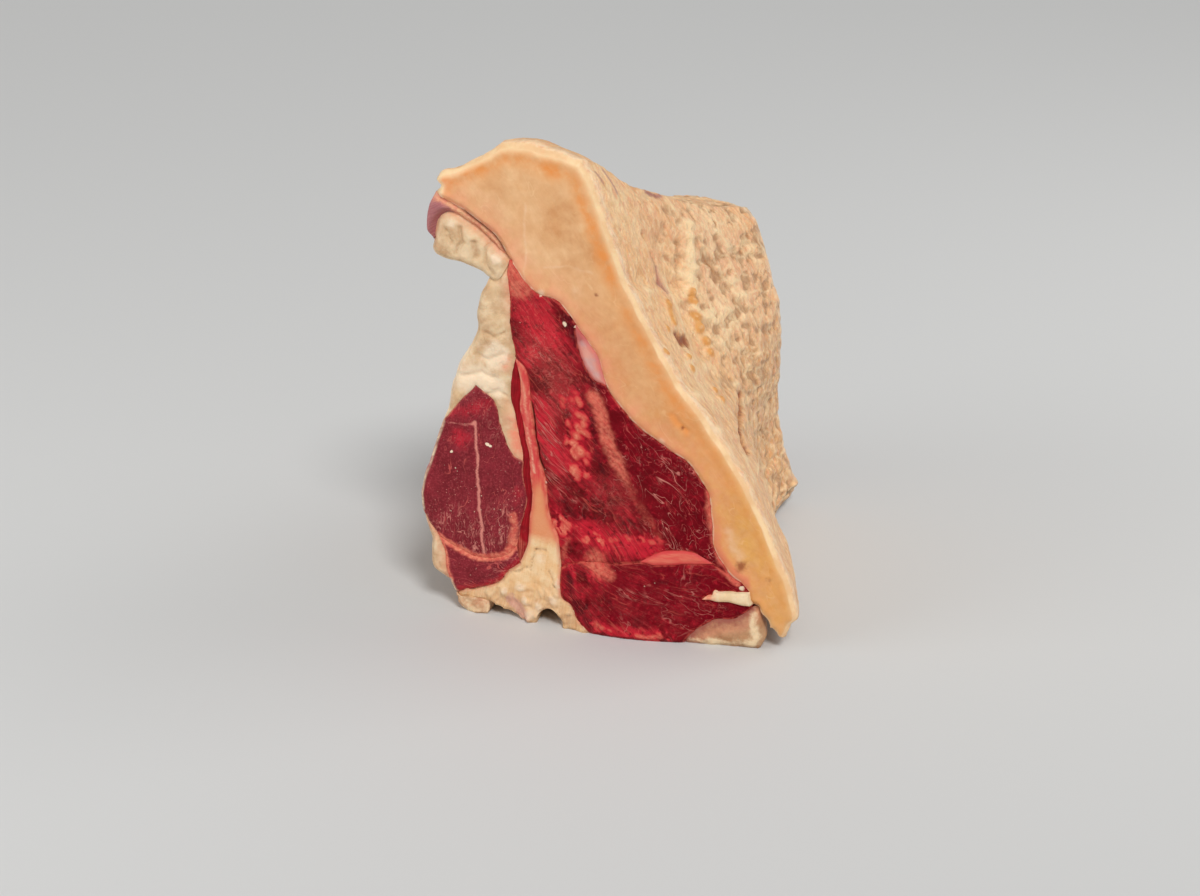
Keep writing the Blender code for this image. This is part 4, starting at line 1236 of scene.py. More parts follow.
class Wiring:
    """A node tree, and short ways to add nodes to it and join them.

    Where a number or an output is asked for, a mark's name gives that mark.
    """

    def __init__(self, tree):
        self.tree = tree

    def give(self, socket, value):
        """Gives an input a value, another node's output, or the mark of that name."""
        value = self.attribute(value) if isinstance(value, str) else value
        if isinstance(value, bpy.types.NodeSocket):
            self.tree.links.new(value, socket)
        else:
            socket.default_value = value

    def add(self, kind, inputs=(), output=0, **settings):
        """The output of a new node with these inputs and settings."""
        node = self.tree.nodes.new(kind)
        for key, value in settings.items():
            setattr(node, key, value)
        for key, value in inputs:
            self.give(node.inputs[key], value)
        return node.outputs[output]

    def math(self, operation, first, second=0):
        return self.add("ShaderNodeMath", [(0, first), (1, second)], operation=operation)

    def times(self, first, *others):
        for other in others:
            first = self.math("MULTIPLY", first, other)
        return first

    def plus(self, first, *others):
        for other in others:
            first = self.math("ADD", first, other)
        return first

    def eased(self, value, share, floor):
        """A value times a share, on a floor."""
        return self.plus(self.times(value, share), floor)

    def less(self, first, second):
        return self.math("SUBTRACT", first, second)

    def centred(self, value):
        """A value from 0 to 1 shifted to run from -0.5 to 0.5, so that a mask leaves no step."""
        return self.less(value, 0.5)

    def step(self, value, start, end):
        """A smooth step from 0 to 1 as the value goes from start to end, up or down."""
        return self.add("ShaderNodeMapRange", [("Value", value), ("From Min", start),
                                               ("From Max", end)], "Result",
                        interpolation_type="SMOOTHSTEP")

    def around(self, value, middle, reach):
        """A smooth step from 0 to 1 that reaches as far below the middle as above it."""
        return self.step(value, self.less(middle, reach), self.plus(reach, middle))

    def vector(self, operation, first, second):
        return self.add("ShaderNodeVectorMath", [(0, first), (1, second)], operation=operation)

    def mix(self, share, first, second):
        """A colour between two, or a number between two."""
        colours = isinstance(second, tuple)
        slots = (6, 7) if colours else (2, 3)
        return self.add("ShaderNodeMix", [(0, share), (slots[0], first), (slots[1], second)],
                        2 if colours else 0, data_type="RGBA" if colours else "FLOAT")

    def scale(self, size):
        """The scale of a texture whose features are size millimetres wide."""
        return self.math("DIVIDE", PER_MM, size) if isinstance(size, bpy.types.NodeSocket) \
            else PER_MM / size

    def noise(self, place, size, detail, roughness=0.55, distortion=0, output="Fac"):
        """Noise from 0 to 1 whose lumps are about size millimetres."""
        return self.add("ShaderNodeTexNoise", [("Vector", place), ("Scale", self.scale(size)),
                                               ("Detail", detail), ("Roughness", roughness),
                                               ("Distortion", distortion)], output)

    def channels(self, colour):
        """The three numbers of a colour."""
        return self.add("ShaderNodeSeparateColor", [(0, colour)]).node.outputs

    def attribute(self, name, output="Fac"):
        return self.add("ShaderNodeAttribute", output=output, attribute_name=name)

    def group(self, name, *values):
        """The output of one of the shared groups, given its inputs in turn."""
        return self.add("ShaderNodeGroup", enumerate(values),
                        node_tree=bpy.data.node_groups[name])


def ragged_mask(w, mask, place, size, fray, soft):
    """A soft mask made crisp, with an edge that noise frays."""
    lumps = w.centred(w.noise(place, size, 4, 0.6))
    frayed = w.plus(mask, w.times(lumps, w.times(fray, 2)))
    return w.times(w.around(frayed, 0.5, soft), w.step(mask, 0.02, 0.12))


def drawn_fibres(w, flow, width, length, contrast):
    """Noise drawn out along the flow, with its contrast raised."""
    drawn = w.add("ShaderNodeCombineXYZ", [(0, w.math("DIVIDE", width, length)), (1, 1),
                                           (2, 1)])
    threads = w.noise(w.vector("MULTIPLY", flow, drawn), width, 4, 0.62, 0.25)
    return w.around(threads, 0.5, contrast)


def bent_web(w, place, size, line, broken):
    """Thin broken lines between bent cells, as of marbling or wrinkles."""
    bend = w.noise(place, w.times(size, 1 / 1.3), 3, 0.6, output="Color")
    reach = w.times(size, 1.1, MM)
    shift = w.add("ShaderNodeVectorMath", [(0, w.vector("SUBTRACT", bend, (0.5, 0.5, 0.5))),
                                           ("Scale", reach)], operation="SCALE")
    bent = w.vector("ADD", place, shift)
    edge = w.add("ShaderNodeTexVoronoi", [("Vector", bent), ("Scale", w.scale(size))], "Distance",
                 feature="DISTANCE_TO_EDGE")
    gaps = w.noise(bent, w.times(size, 1 / 0.8), 2, 0.5)
    return w.times(w.step(edge, line, 0), w.around(gaps, broken, 0.06))


def curled_filaments(w, place, size, thin, broken):
    """Thin curling lines, where a noise passes through its middle value."""
    level = w.noise(place, size, 2, 0.55, 0.7)
    line = w.step(w.math("ABSOLUTE", w.centred(level)), thin, 0)
    gaps = w.channels(w.noise(place, w.times(size, 1 / 0.9), 2, 0.5, 0.3, "Color"))[1]
    return w.times(line, w.around(gaps, broken, 0.08))


def round_specks(w, place, size, radius, kept):
    """Small round dots, one to a cell, of which only a share is kept."""
    dots = w.add("ShaderNodeTexVoronoi", [("Vector", place), ("Scale", w.scale(size))]).node.outputs
    number = w.channels(dots["Color"])
    reach = w.times(radius, w.plus(number[1], 0.35))
    dot = w.step(dots["Distance"], reach, w.times(reach, 0.5))
    return w.times(dot, w.math("LESS_THAN", number[0], kept))


# The shared groups: what makes each, the name of its output, and its inputs with their defaults
SHARED = {
    "Ragged mask": (ragged_mask, "Mask", {"Mask": 0.0, "Place": NOWHERE, "Size": 2.0,
                                          "Fray": 0.5, "Soft": 0.12}),
    "Fibres": (drawn_fibres, "Fibres", {"Flow": NOWHERE, "Width": 1.0, "Length": 8.0,
                                        "Contrast": 0.25}),
    "Web": (bent_web, "Lines", {"Place": NOWHERE, "Size": 7.0, "Line": 0.05, "Broken": 0.5}),
    "Filaments": (curled_filaments, "Lines", {"Place": NOWHERE, "Size": 8.0, "Thin": 0.02,
                                              "Broken": 0.5}),
    "Specks": (round_specks, "Specks", {"Place": NOWHERE, "Size": 2.0, "Radius": 0.2,
                                        "Kept": 0.5}),
}


def make_groups():
    """The effects that several finishes share, each built once as a shader group."""
    for name, (effect, output, inputs) in SHARED.items():
        tree = bpy.data.node_groups.new(name, "ShaderNodeTree")
        for key, default in inputs.items():
            tree.interface.new_socket(name=key, in_out="INPUT", socket_type=TO_SOCKET[
                type(default)]).default_value = default
        tree.interface.new_socket(name=output, in_out="OUTPUT", socket_type="NodeSocketFloat")
        wiring = Wiring(tree)
        given = tree.nodes.new("NodeGroupInput").outputs
        result = tree.nodes.new("NodeGroupOutput").inputs[output]
        wiring.give(result, effect(wiring, *(given[key] for key in inputs)))


class Finish(Wiring):
    """A material under way: its colour, roughness and height so far, painted on in layers.

    While within is set, what is painted stays within that mask.
    """

    def __init__(self, name, base, roughness, gloss=0.25, subsurface=0.1, reach=1.5):
        self.material = bpy.data.materials.new(name)
        self.material.use_nodes = True
        super().__init__(self.material.node_tree)
        self.shader = self.tree.nodes["Principled BSDF"].inputs
        self.colour = (*base, 1)
        self.rough = roughness
        self.height = 0
        self.within = None
        self.place = self.add("ShaderNodeTexCoord", output="Object")
        self.flow = self.attribute("flow", "Vector")
        self.shader["Specular IOR Level"].default_value = gloss
        self.shader["Subsurface Weight"].default_value = subsurface
        self.shader["Subsurface Radius"].default_value = (reach * MM, 0.45 * reach * MM,
                                                          0.3 * reach * MM)
        self.shader["Subsurface Scale"].default_value = 1

    def paint(self, colour, mask, strength=1, rough=None, raise_by=0):
        """Lays a colour over what is there where the mask is, and may change finish or height."""
        mask = self.times(self.within, mask) if self.within else mask
        share = self.times(mask, strength) if strength != 1 else mask
        self.colour = self.mix(share, self.colour, (*colour, 1))
        if rough is not None:
            self.rough = self.mix(share, self.rough, rough)
        if raise_by:
            self.emboss(mask, raise_by)
        return self

    def emboss(self, value, height):
        """Adds a value times a height in millimetres to the fine relief."""
        self.height = self.plus(self.height, self.times(value, height))
        return self

    def ragged(self, mask, size, fray, soft):
        """A mark's soft mask, frayed and made crisp."""
        return self.group("Ragged mask", mask, self.place, size, fray, soft)

    def fibres(self, width, length, contrast):
        return self.group("Fibres", self.flow, width, length, contrast)

    def web(self, size, line, broken):
        return self.group("Web", self.place, size, line, broken)

    def filaments(self, size, thin, broken):
        return self.group("Filaments", self.place, size, thin, broken)

    def strands(self, size, drawn, thin, broken):
        """Filaments drawn out along the flow."""
        place = self.vector("MULTIPLY", self.flow, (1 / drawn, 1, 1))
        return self.group("Filaments", place, size, thin, broken)

    def specks(self, size, radius, kept):
        return self.group("Specks", self.place, size, radius, kept)

    def mottle(self, size, contrast, floor=0):
        """Noise on the piece's own place that runs from 0 to 1, plus a floor."""
        noise = self.noise(self.place, size, 4, 0.6)
        lumps = self.step(noise, 0.5 - contrast, 0.5 + contrast)
        return self.plus(lumps, floor) if floor else lumps

    def near_seam(self, reach, core=0.2):
        """1 within the core of a neighbour, 0 past the reach, both in millimetres."""
        return self.step("seam", reach * MM, core * MM)

    def on_rim(self):
        """1 along the rim, where the flow jumps from the cut's to the outside's, 0 off it."""
        past_rim = self.math("ABSOLUTE", self.centred("skin"))
        return self.step(past_rim, 1.3 / SKIN_MARK_REACH, 0.5 / SKIN_MARK_REACH)

    def done(self):
        """Feeds what was painted into the shader, and gives the material."""
        self.give(self.shader["Base Color"], self.colour)
        self.give(self.shader["Roughness"], self.rough)
        height = self.times(self.height, self.less(1, self.on_rim()))
        self.give(self.shader["Normal"], self.add(
            "ShaderNodeBump", [("Height", height), ("Distance", MM), ("Strength", 1)]))
        return self.material


def meat_finish(name, hue):
    """Dark red muscle: fibre bundles, bright and dark patches with painted shade in the loin's
    slit, salmon grains with a painted highlight on their tops, fine pale curls, and white specks
    that are painted wet glints.
    """
    f = Finish(name, hue.meat_deep, 0.22, 0.045, 0)
    right = f.attribute("right")
    left = f.less(1, right)
    patchy = f.mottle(11, 0.1)
    fibrous = f.plus(f.times(patchy, 0.45), f.times("strands", 0.7))
    bundles = f.fibres(1.5, 16, 0.15)
    threads = f.fibres(0.5, 7, 0.2)
    # red where the muscle is fresh, deeper to the right
    f.paint(hue.meat_red, f.times(f.mottle(8, 0.12), f.eased(left, 0.3, 0.35)))
    f.paint(hue.meat_red, f.times(bundles, fibrous), 0.6)
    f.paint(hue.meat_bright, f.times(bundles, patchy, left), 0.5)
    bright = f.ragged("bright", 3.5, 0.45, 0.3)
    f.paint(hue.meat_bright, f.times(bright, f.eased(bundles, 0.55, 0.45)), 0.95)
    f.paint(hue.meat_brown_and_shade, f.times(f.step(bundles, 0.3, 0), fibrous), 0.85)
    f.paint(hue.meat_brown_and_shade, f.step(f.noise(f.place, 2.8, 5, 0.68), 0.44, 0.34), 0.6)
    # Darker muscle, and painted shade in the loin's slit.
    f.paint(hue.meat_brown_and_shade, f.ragged("dark", 2.6, 0.35, 0.3), 0.8)
    f.paint(hue.meat_pink, f.times(threads, left, fibrous), 0.15)
    f.paint(hue.meat_pink, f.times("strands", f.step(f.fibres(0.9, 24, 0.3), 0.62, 0.85)),
            0.8, None, 0.2)
    f.paint(hue.meat_pink, "mesh", 0.2)
    f.paint(hue.meat_pink, f.times("mesh", f.filaments(2.6, 0.05, 0.45)), 0.6, None, 0.15)
    f.paint(hue.marbling, f.times("mesh", f.strands(1.5, 3, 0.04, 0.5)), 0.5, None, 0.1)
    f.paint(hue.meat_bright, f.times("band", f.eased(bundles, 0.6, 0.4)), 0.8)
    f.emboss(f.times(bundles, fibrous), 0.5).emboss(threads, 0.08)
    f.paint(hue.meat_glaze, f.times("deep", f.mottle(5, 0.2, 0.45)))
    # pale strands along the fibres, and salmon grains
    f.paint(hue.salmon, f.times(f.strands(3, 7, 0.025, 0.5), left), 0.4, None, 0.1)
    strand = f.times(f.strands(1.9, 9, 0.045, 0.4), f.ragged("strands", 3, 0.35, 0.25))
    f.paint(hue.marbling, strand, 0.65, None, 0.2)
    clumps = f.plus("clumps", f.times(f.centred(f.noise(f.place, 2.2, 4, 0.6)), 0.9))
    f.paint(hue.meat_bright, f.step(clumps, 0, 0.4), 0.85)
    f.paint(hue.salmon, f.times(f.step(clumps, 0.2, 0.75), f.eased(threads, 0.35, 0.65)),
            0.9, None, 0.2)
    # Painted highlight on the tops of the salmon grains.
    f.paint(hue.salmon_pale, f.times(f.step(clumps, 0.65, 1.1), f.mottle(1.3, 0.16)), 0.8)
    salmon = f.ragged("salmon", 4, 0.3, 0.4)
    f.paint(hue.salmon, f.times(salmon, f.eased(bundles, 0.5, 0.5)), 0.9, 0.42, 0.15)
    f.paint(hue.salmon_pale, f.times(salmon, f.mottle(1.6, 0.14)), 0.45)
    # fine pale curls, most of them on the right
    curly = f.times(f.mottle(13, 0.1), f.eased(right, 0.85, 0.15))
    f.paint(hue.marbling, f.times(f.strands(9, 2.2, 0.015, 0.5), curly), 0.95, None, 0.15)
    f.paint(hue.marbling, f.times(f.strands(5, 2.6, 0.014, 0.54), curly), 0.8, None, 0.1)
    f.paint(hue.marbling, f.times(f.filaments(6, 0.013, 0.56), curly), 0.7, None, 0.1)
    f.paint(hue.meat_pink, f.times(f.strands(4, 3, 0.014, 0.48), right), 0.5)
    # Tiny white specks: painted wet glints.
    f.paint(hue.white_fat_and_glint, f.specks(5, 0.06, 0.35), 0.6, None, 0.1)
    f.paint(hue.white_fat_and_glint, f.times(f.specks(2, 0.07, 0.3), f.mottle(9, 0.1)), 0.45)
    f.paint(hue.white_fat_and_glint, f.ragged("white", 1.2, 0.25, 0.15), 0.9, 0.5, 0.15)
    f.paint(hue.salmon, f.times(f.near_seam(1), f.mottle(2.6, 0.12)), 0.6)
    f.emboss(f.noise(f.place, 1.5, 4, 0.62), 0.5)
    return f.done()


def fillet_finish(name, hue):
    """Plum muscle: fine grain, tiny white dots, a pink middle seam, branching veins, silverskin."""
    f = Finish(name, hue.plum, 0.28, 0.1, 0)
    f.paint(hue.plum_deep, f.mottle(9, 0.16), 0.7)
    f.paint(hue.meat_bright, f.ragged("bright", 3.5, 0.45, 0.35), 0.65)
    grain = f.noise(f.place, 0.8, 3, 0.65)
    f.paint(hue.plum_pale, f.step(grain, 0.46, 0.66), 0.5)
    f.paint(hue.plum_deep, f.step(f.noise(f.place, 1.7, 4, 0.65), 0.46, 0.36), 0.6)
    f.emboss(grain, 0.25)
    streaks = f.fibres(1.3, 9, 0.2)
    f.paint(hue.plum_deep, streaks, 0.35)
    f.paint(hue.meat_pink, f.strands(7, 2.6, 0.012, 0.5), 0.6, None, 0.1)
    veins = f.plus(f.strands(4.2, 2.2, 0.025, 0.48), f.strands(2.4, 2.6, 0.035, 0.52))
    f.paint(hue.marbling, f.times(veins, "veins"), 0.75, None, 0.15)
    dots = f.times(f.specks(1.3, 0.26, 0.45), "dots")
    f.paint(hue.marbling, dots, 0.95, None, 0.1)
    f.paint(hue.white_fat_and_glint, f.times(f.specks(2.8, 0.14, 0.45), "dots"), 0.85, None, 0.1)
    f.paint(hue.white_fat_and_glint, f.specks(4.6, 0.07, 0.5), 0.6, None, 0.1)
    f.paint(hue.marbling, f.ragged("seam_line", 1.6, 0.35, 0.4), 0.9, 0.42)
    salmon = f.ragged("salmon", 2, 0.4, 0.35)
    f.paint(hue.salmon, salmon, 0.8, 0.42)
    f.paint(hue.salmon_pale, f.times(salmon, f.mottle(1.8, 0.12)), 0.7, None, 0.1)
    f.paint(hue.white_fat_and_glint, f.ragged("white", 1.2, 0.25, 0.1), 0.95, 0.5, 0.2)
    f.paint(hue.salmon_pale, f.times(f.near_seam(0.7, 0.1), f.mottle(2.4, 0.12)), 0.55)
    rim = f.step("rim", 1.7 * MM, 0.3 * MM)
    f.paint(hue.suet_pale, f.times(rim, f.mottle(4, 0.2, 0.35)), 0.75, 0.42)
    skin = f.ragged("skin", 3, 0.14, 0.05)
    lengthwise = f.fibres(2.4, 30, 0.25)
    f.paint(hue.plum_pale, skin, 0.9, 0.36)
    f.within = skin
    f.paint(hue.silverskin, f.eased(lengthwise, 0.5, 0.35), 0.85, 0.34)
    smear = f.plus(f.times(lengthwise, 0.12), f.noise(f.place, 7, 5, 0.6),
                   f.times(f.near_seam(15, 0), 0.35))
    f.paint(hue.suet, f.step(smear, 0.62, 0.95), 0.85, 0.5, 0.1)
    f.paint(hue.plum, f.strands(6, 5, 0.02, 0.5), 0.5)
    f.emboss(f.times(skin, f.centred(lengthwise)), 0.35)
    return f.done()


def fat_finish(name, hue):
    """Back fat: waxy and banded where cut; fibrous, dimpled and stained outside, with painted shade
    in its hollows and painted highlights on its rim, lumps and nodules.
    """
    f = Finish(name, hue.fat, 0.46, 0.28, 0.12, 2)
    f.paint(hue.fat_pale, f.mottle(15, 0.16), 0.45)
    f.paint(hue.fat_gold, "gold", 0.9)
    f.paint(hue.fat_pale, "light_cut", 0.55)
    f.paint(hue.hide_pale, f.times("light_cut", f.mottle(12, 0.14)), 0.4)
    f.paint(hue.fat_tan, f.times("tan", f.mottle(9, 0.25, 0.3)), 0.75)
    f.paint(hue.fat_tan, f.step(f.noise(f.flow, 9, 4, 0.55), 0.5, 0.68), 0.35)
    f.paint(hue.fat_tan, f.mottle(5.5, 0.25), 0.35)
    f.paint(hue.fat_pale, f.mottle(3.4, 0.16), 0.22)
    lines = f.fibres(1.6, 26, 0.3)
    f.paint(hue.fat_tan, lines, 0.12)
    f.paint(hue.hide_pale, f.strands(9, 2, 0.012, 0.5), 0.2, None, 0.03)
    f.paint(hue.fat_orange, f.times("orange", f.mottle(7, 0.2, 0.35)), 0.85)
    f.paint(hue.salmon, f.times("blush", f.mottle(4, 0.2, 0.15)), 0.3)
    f.paint(hue.salmon_pale, f.times("blush", f.mottle(6, 0.2, 0.3)), 0.6)
    # Painted highlight along the rim of the cut, and the pale lip at the tail's tip.
    f.paint(hue.hide_pale, "edge", 0.8)
    f.paint(hue.fat_orange, "nick", 0.8).paint(hue.salmon, "strip", 0.45)
    f.paint(hue.white_fat_and_glint, f.ragged("pale", 2.6, 0.3, 0.4), 0.45)
    f.paint(hue.white_fat_and_glint, f.times(f.near_seam(1.1), f.mottle(3.2, 0.1)), 0.5, None, 0.15)
    f.paint(hue.stain_red, f.ragged("dots", 1.6, 0.35, 0.4), 0.8)
    f.emboss(lines, 0.08).emboss(f.noise(f.place, 2.4, 3, 0.5), 0.12)
    # the outside
    reach = f.attribute("skin")
    skin = f.ragged(reach, 3.2, 0.12, 0.04)
    streak = f.fibres(3, 14, 0.22)
    f.colour = f.mix(skin, f.colour, (*hue.hide, 1))
    f.within = skin
    f.paint(hue.hide_rose, f.times("rose", f.mottle(8, 0.3, 0.3)), 0.9)
    f.paint(hue.hide_pale, f.mottle(9, 0.2), 0.3)
    f.paint(hue.hide_tan, f.step(f.noise(f.flow, 5, 4, 0.6), 0.56, 0.4), 0.5)
    # Painted pool of light in the middle of the outside, and painted shade on its far lower part.
    f.paint(hue.hide_pale, f.times("light", f.mottle(7, 0.2, 0.25)), 0.9)
    f.paint(hue.hide_tan, f.times("shade", f.mottle(6, 0.25, 0.2)), 0.9)
    f.paint(hue.hide_rose, f.step(f.noise(f.place, 4, 4, 0.65), 0.5, 0.38), 0.6)
    f.paint(hue.hide_pale, f.step(f.noise(f.place, 3.2, 4, 0.65), 0.52, 0.66), 0.6)
    # Painted shade in the dimples and pits outside, stronger on the far half.
    hollow = f.step(f.plus("hollow", f.times(f.mottle(2.2, 0.3), 0.3)), 0.2, 0.95)
    f.paint(hue.hide_hollow_shade, f.times(hollow, f.eased("far_half", 0.4, 0.6)), 0.95)
    f.paint(hue.hide_pale, f.times("thread", f.eased("far_half", 0.4, 0.3)), 0.8)
    # Pale lumps and ridges: a painted highlight on the raised fat.
    f.paint(hue.hide_pale, "cream", 0.8)
    f.paint(hue.hide_pale, streak, 0.35)
    f.within = None
    # Painted highlight: a whitish band just outside the ridge, streaked.
    band = f.times(f.step(reach, 0.46, 0.58), f.step(reach, 0.98, 0.7))
    f.paint(hue.white_fat_and_glint, f.times(band, f.eased(streak, 0.6, 0.2)), 0.65)
    f.within = skin
    f.paint(hue.amber, f.step("amber", 0.2, 0.7), 0.85, 0.36)
    # Painted highlight: pale tops on the amber nodules.
    f.paint(hue.fat_pale, f.step("amber", 0.85, 1), 0.6)
    f.paint(hue.bruise, f.ragged("bruise", 1.6, 0.5, 0.5), 0.65)
    # Hole, crease and grooves in tan and red-brown: part staining, part painted shade.
    f.paint(hue.hide_tan, f.step("brown", 0.05, 0.6), 0.8)
    f.paint(hue.stain_red, f.ragged("brown", 1.6, 0.6, 0.45), 0.85)
    f.within = None
    # Painted highlight along the ridge where the cut meets the outside.
    f.paint(hue.fat_pale, f.on_rim(), 0.85)
    f.paint(hue.hide_pale, f.times(f.on_rim(), f.mottle(11, 0.15)), 0.7)
    f.rough = f.mix(skin, f.rough, 0.42)
    f.emboss(f.times(skin, f.centred(streak)), 0.2)
    f.emboss(f.times(skin, f.centred(f.noise(f.place, 2.6, 3, 0.5))), 1)
    return f.done()


def suet_finish(name, hue):
    """Kidney fat: cream lobes, tan creases of painted shade, salmon towards the meat, and white
    patches with a painted rim light.
    """
    f = Finish(name, hue.suet, 0.5, 0.25, 0.15, 2)
    f.paint(hue.suet_pale, f.mottle(6, 0.16), 0.7)
    # Painted shade in the folds.
    f.paint(hue.suet_tan, f.times("hollow", f.mottle(5, 0.25, 0.4)), 0.6)
    f.paint(hue.suet_tan, f.web(6, 0.09, 0.55), 0.14, None, -0.12)
    f.paint(hue.salmon_pale, f.times("salmon", f.mottle(4, 0.2, 0.6)), 0.9)
    # Pale patches, and a painted rim light along the lower outer edge.
    f.paint(hue.white_fat_and_glint, f.ragged("white", 2.6, 0.35, 0.25), 0.7)
    f.emboss(f.noise(f.place, 2, 4, 0.55), 0.4).emboss(f.fibres(1.6, 8, 0.3), 0.12)
    return f.done()


def strap_finish(name, hue):
    """A smooth dark strip of muscle with lengthwise fibres."""
    f = Finish(name, hue.strap, 0.3, 0.07, 0)
    threads = f.fibres(0.9, 16, 0.2)
    f.paint(hue.meat_bright, threads, 0.45)
    f.paint(hue.meat_brown_and_shade, f.mottle(5, 0.12), 0.3)
    f.paint(hue.salmon_pale, f.times(f.ragged("pale", 3, 0.5, 0.25), threads), 0.55)
    f.emboss(threads, 0.15)
    return f.done()


def flank_finish(name, hue):
    """Thin dried muscle: purple with pale folds."""
    f = Finish(name, hue.purple, 0.38, 0.25, 0.06, 1)
    threads = f.fibres(0.8, 9, 0.25)
    f.paint(hue.purple_pale, threads, 0.5)
    pale = f.ragged("pale", 2.6, 0.45, 0.4)
    f.paint(hue.salmon_pale, pale, 0.8)
    f.paint(hue.fat_pale, f.times(pale, f.mottle(3, 0.2)), 0.8)
    # Painted shade in the groove by the tail's fat.
    f.paint(hue.stain_and_shade, f.ragged("dark", 1.6, 0.3, 0.4), 0.8)
    # outside: wet dark patches and thin smears of fat along it
    skin = f.ragged("skin", 2, 0.2, 0.1)
    lengthwise = f.fibres(2.6, 26, 0.22)
    f.within = skin
    f.paint(hue.plum_pale, f.mottle(12, 0.18), 0.55)
    f.paint(hue.silverskin, lengthwise, 0.5)
    f.paint(hue.suet, f.step(f.noise(f.flow, 7, 5, 0.65), 0.58, 0.7), 0.6)
    f.emboss(threads, 0.2).emboss(f.times(skin, f.centred(lengthwise)), 0.4)
    return f.done()


def bone_finish(name, hue):
    """Sawn bone: salmon rib, orange shaft, cream body with pores and brown cracks."""
    f = Finish(name, hue.bone, 0.55, 0.25, 0.1, 1.5)
    f.paint(hue.bone_pale, f.mottle(5, 0.15), 0.5)
    f.paint(hue.meat_red, f.near_seam(1.8, 0.1), 0.35)
    f.paint(hue.bone_tan, f.times("tan", f.mottle(4, 0.15, 0.35)), 0.6)
    f.paint(hue.bone_orange, f.ragged("shaft", 4, 0.25, 0.35), 0.85)
    f.paint(hue.salmon, f.ragged("rib", 4, 0.25, 0.35), 0.85, 0.4)
    streaks = f.fibres(1, 10, 0.15)
    f.paint(hue.salmon_pale, f.times("rib", streaks), 0.35)
    f.paint(hue.meat_bright, f.times("rib", f.step(f.fibres(0.8, 14, 0.2), 0.6, 0.2)), 0.45)
    f.paint(hue.meat_bright, f.times("red", f.eased(streaks, 0.3, 0.6)), 0.9)
    pores = f.specks(1.1, 0.28, 0.45)
    body = f.step("shaft", 0.8, 0.2)
    f.paint(hue.bone_tan, f.times(pores, body), 0.28, None, -0.12)
    f.paint(hue.stain_and_shade, f.ragged("crack", 1.1, 0.6, 0.5), 0.5, None, -0.2)
    saw = f.fibres(0.9, 30, 0.3)
    f.paint(hue.bone_pale, f.times(saw, body), 0.35, None, 0.08)
    f.paint(hue.purple_pale, f.ragged("purple", 2, 0.4, 0.25), 0.6)
    f.paint(hue.white_fat_and_glint, f.ragged("white", 2, 0.4, 0.3), 0.6)
    f.paint(hue.bone_pale, f.times("line", f.mottle(5, 0.2, 0.2)), 0.5)
    f.paint(hue.salmon_pale, f.times(f.near_seam(1.3), f.mottle(3, 0.1)), 0.6)
    f.emboss(f.noise(f.place, 1, 4, 0.65), 0.3)
    return f.done()


def sinew_finish(name, hue):
    """Silvery pink sinew with a maroon shade along its top."""
    f = Finish(name, hue.silverskin, 0.28, 0.3, 0.1, 1.2)
    f.paint(hue.white_fat_and_glint, f.times(f.fibres(1.2, 10, 0.2), f.mottle(7, 0.2)), 0.25)
    f.paint(hue.salmon_pale, f.mottle(5, 0.14), 0.5)
    f.paint(hue.plum, f.ragged("shade", 2.5, 0.4, 0.5), 0.7)
    f.paint(hue.meat_pink, f.near_seam(2.4), 0.6)
    f.emboss(f.fibres(1.2, 10, 0.2), 0.12)
    return f.done()


def seam_fat_finish(name, hue):
    """Salmon fat between two muscles."""
    f = Finish(name, hue.salmon, 0.42, 0.25, 0.1, 1.5)
    f.paint(hue.salmon_pale, f.fibres(1.4, 8, 0.2), 0.3)
    f.paint(hue.meat_bright, f.times(f.fibres(1.1, 9, 0.15), f.mottle(6, 0.15)), 0.5)
    f.paint(hue.meat_bright, f.near_seam(1.6, 0.1), 0.6)
    f.emboss(f.fibres(1.4, 8, 0.2), 0.15)
    return f.done()


def gristle_finish(name, hue):
    """Tan cartilage, mottled, with painted shade in its hollows, cream where it is dry and maroon
    beside the meat.
    """
    f = Finish(name, hue.gristle, 0.5, 0.25, 0.1, 1.5)
    f.paint(hue.bone_pale, f.mottle(6, 0.14), 0.25)
    f.paint(hue.bone_tan, f.mottle(3, 0.12), 0.3)
    # Painted shade in the hollows between the lobes.
    f.paint(hue.stain_and_shade, f.times("hollow", f.mottle(4, 0.25)), 0.3)
    f.paint(hue.salmon_pale, "salmon", 0.7)
    f.paint(hue.plum, f.ragged("dark", 2.6, 0.5, 0.4), 0.7)
    f.paint(hue.bone_pale, f.ragged("white", 2, 0.45, 0.3), 0.85)
    f.emboss(f.noise(f.place, 1.3, 4, 0.6), 0.35)
    return f.done()


# The finish of each slot: its material's name and what makes it
FINISHES = {
    "back_fat": ("Back fat", fat_finish),
    "suet": ("Suet", suet_finish),
    "fillet_meat": ("Fillet", fillet_finish),
    "loin_meat": ("Loin", meat_finish),
    "strap_meat": ("Strap", strap_finish),
    "flank_meat": ("Dried meat", flank_finish),
    "bone": ("Bone", bone_finish),
    "gristle": ("Gristle", gristle_finish),
    "sinew": ("Sinew", sinew_finish),
    "seam_fat": ("Seam fat", seam_fat_finish),
}


def finish_of(slot, hue):
    """The slot's finish, made with the shared groups the first time that it is asked for."""
    name, make = FINISHES[slot]
    if not set(SHARED) <= set(bpy.data.node_groups.keys()):
        make_groups()
    return bpy.data.materials.get(name) or make(name, hue)


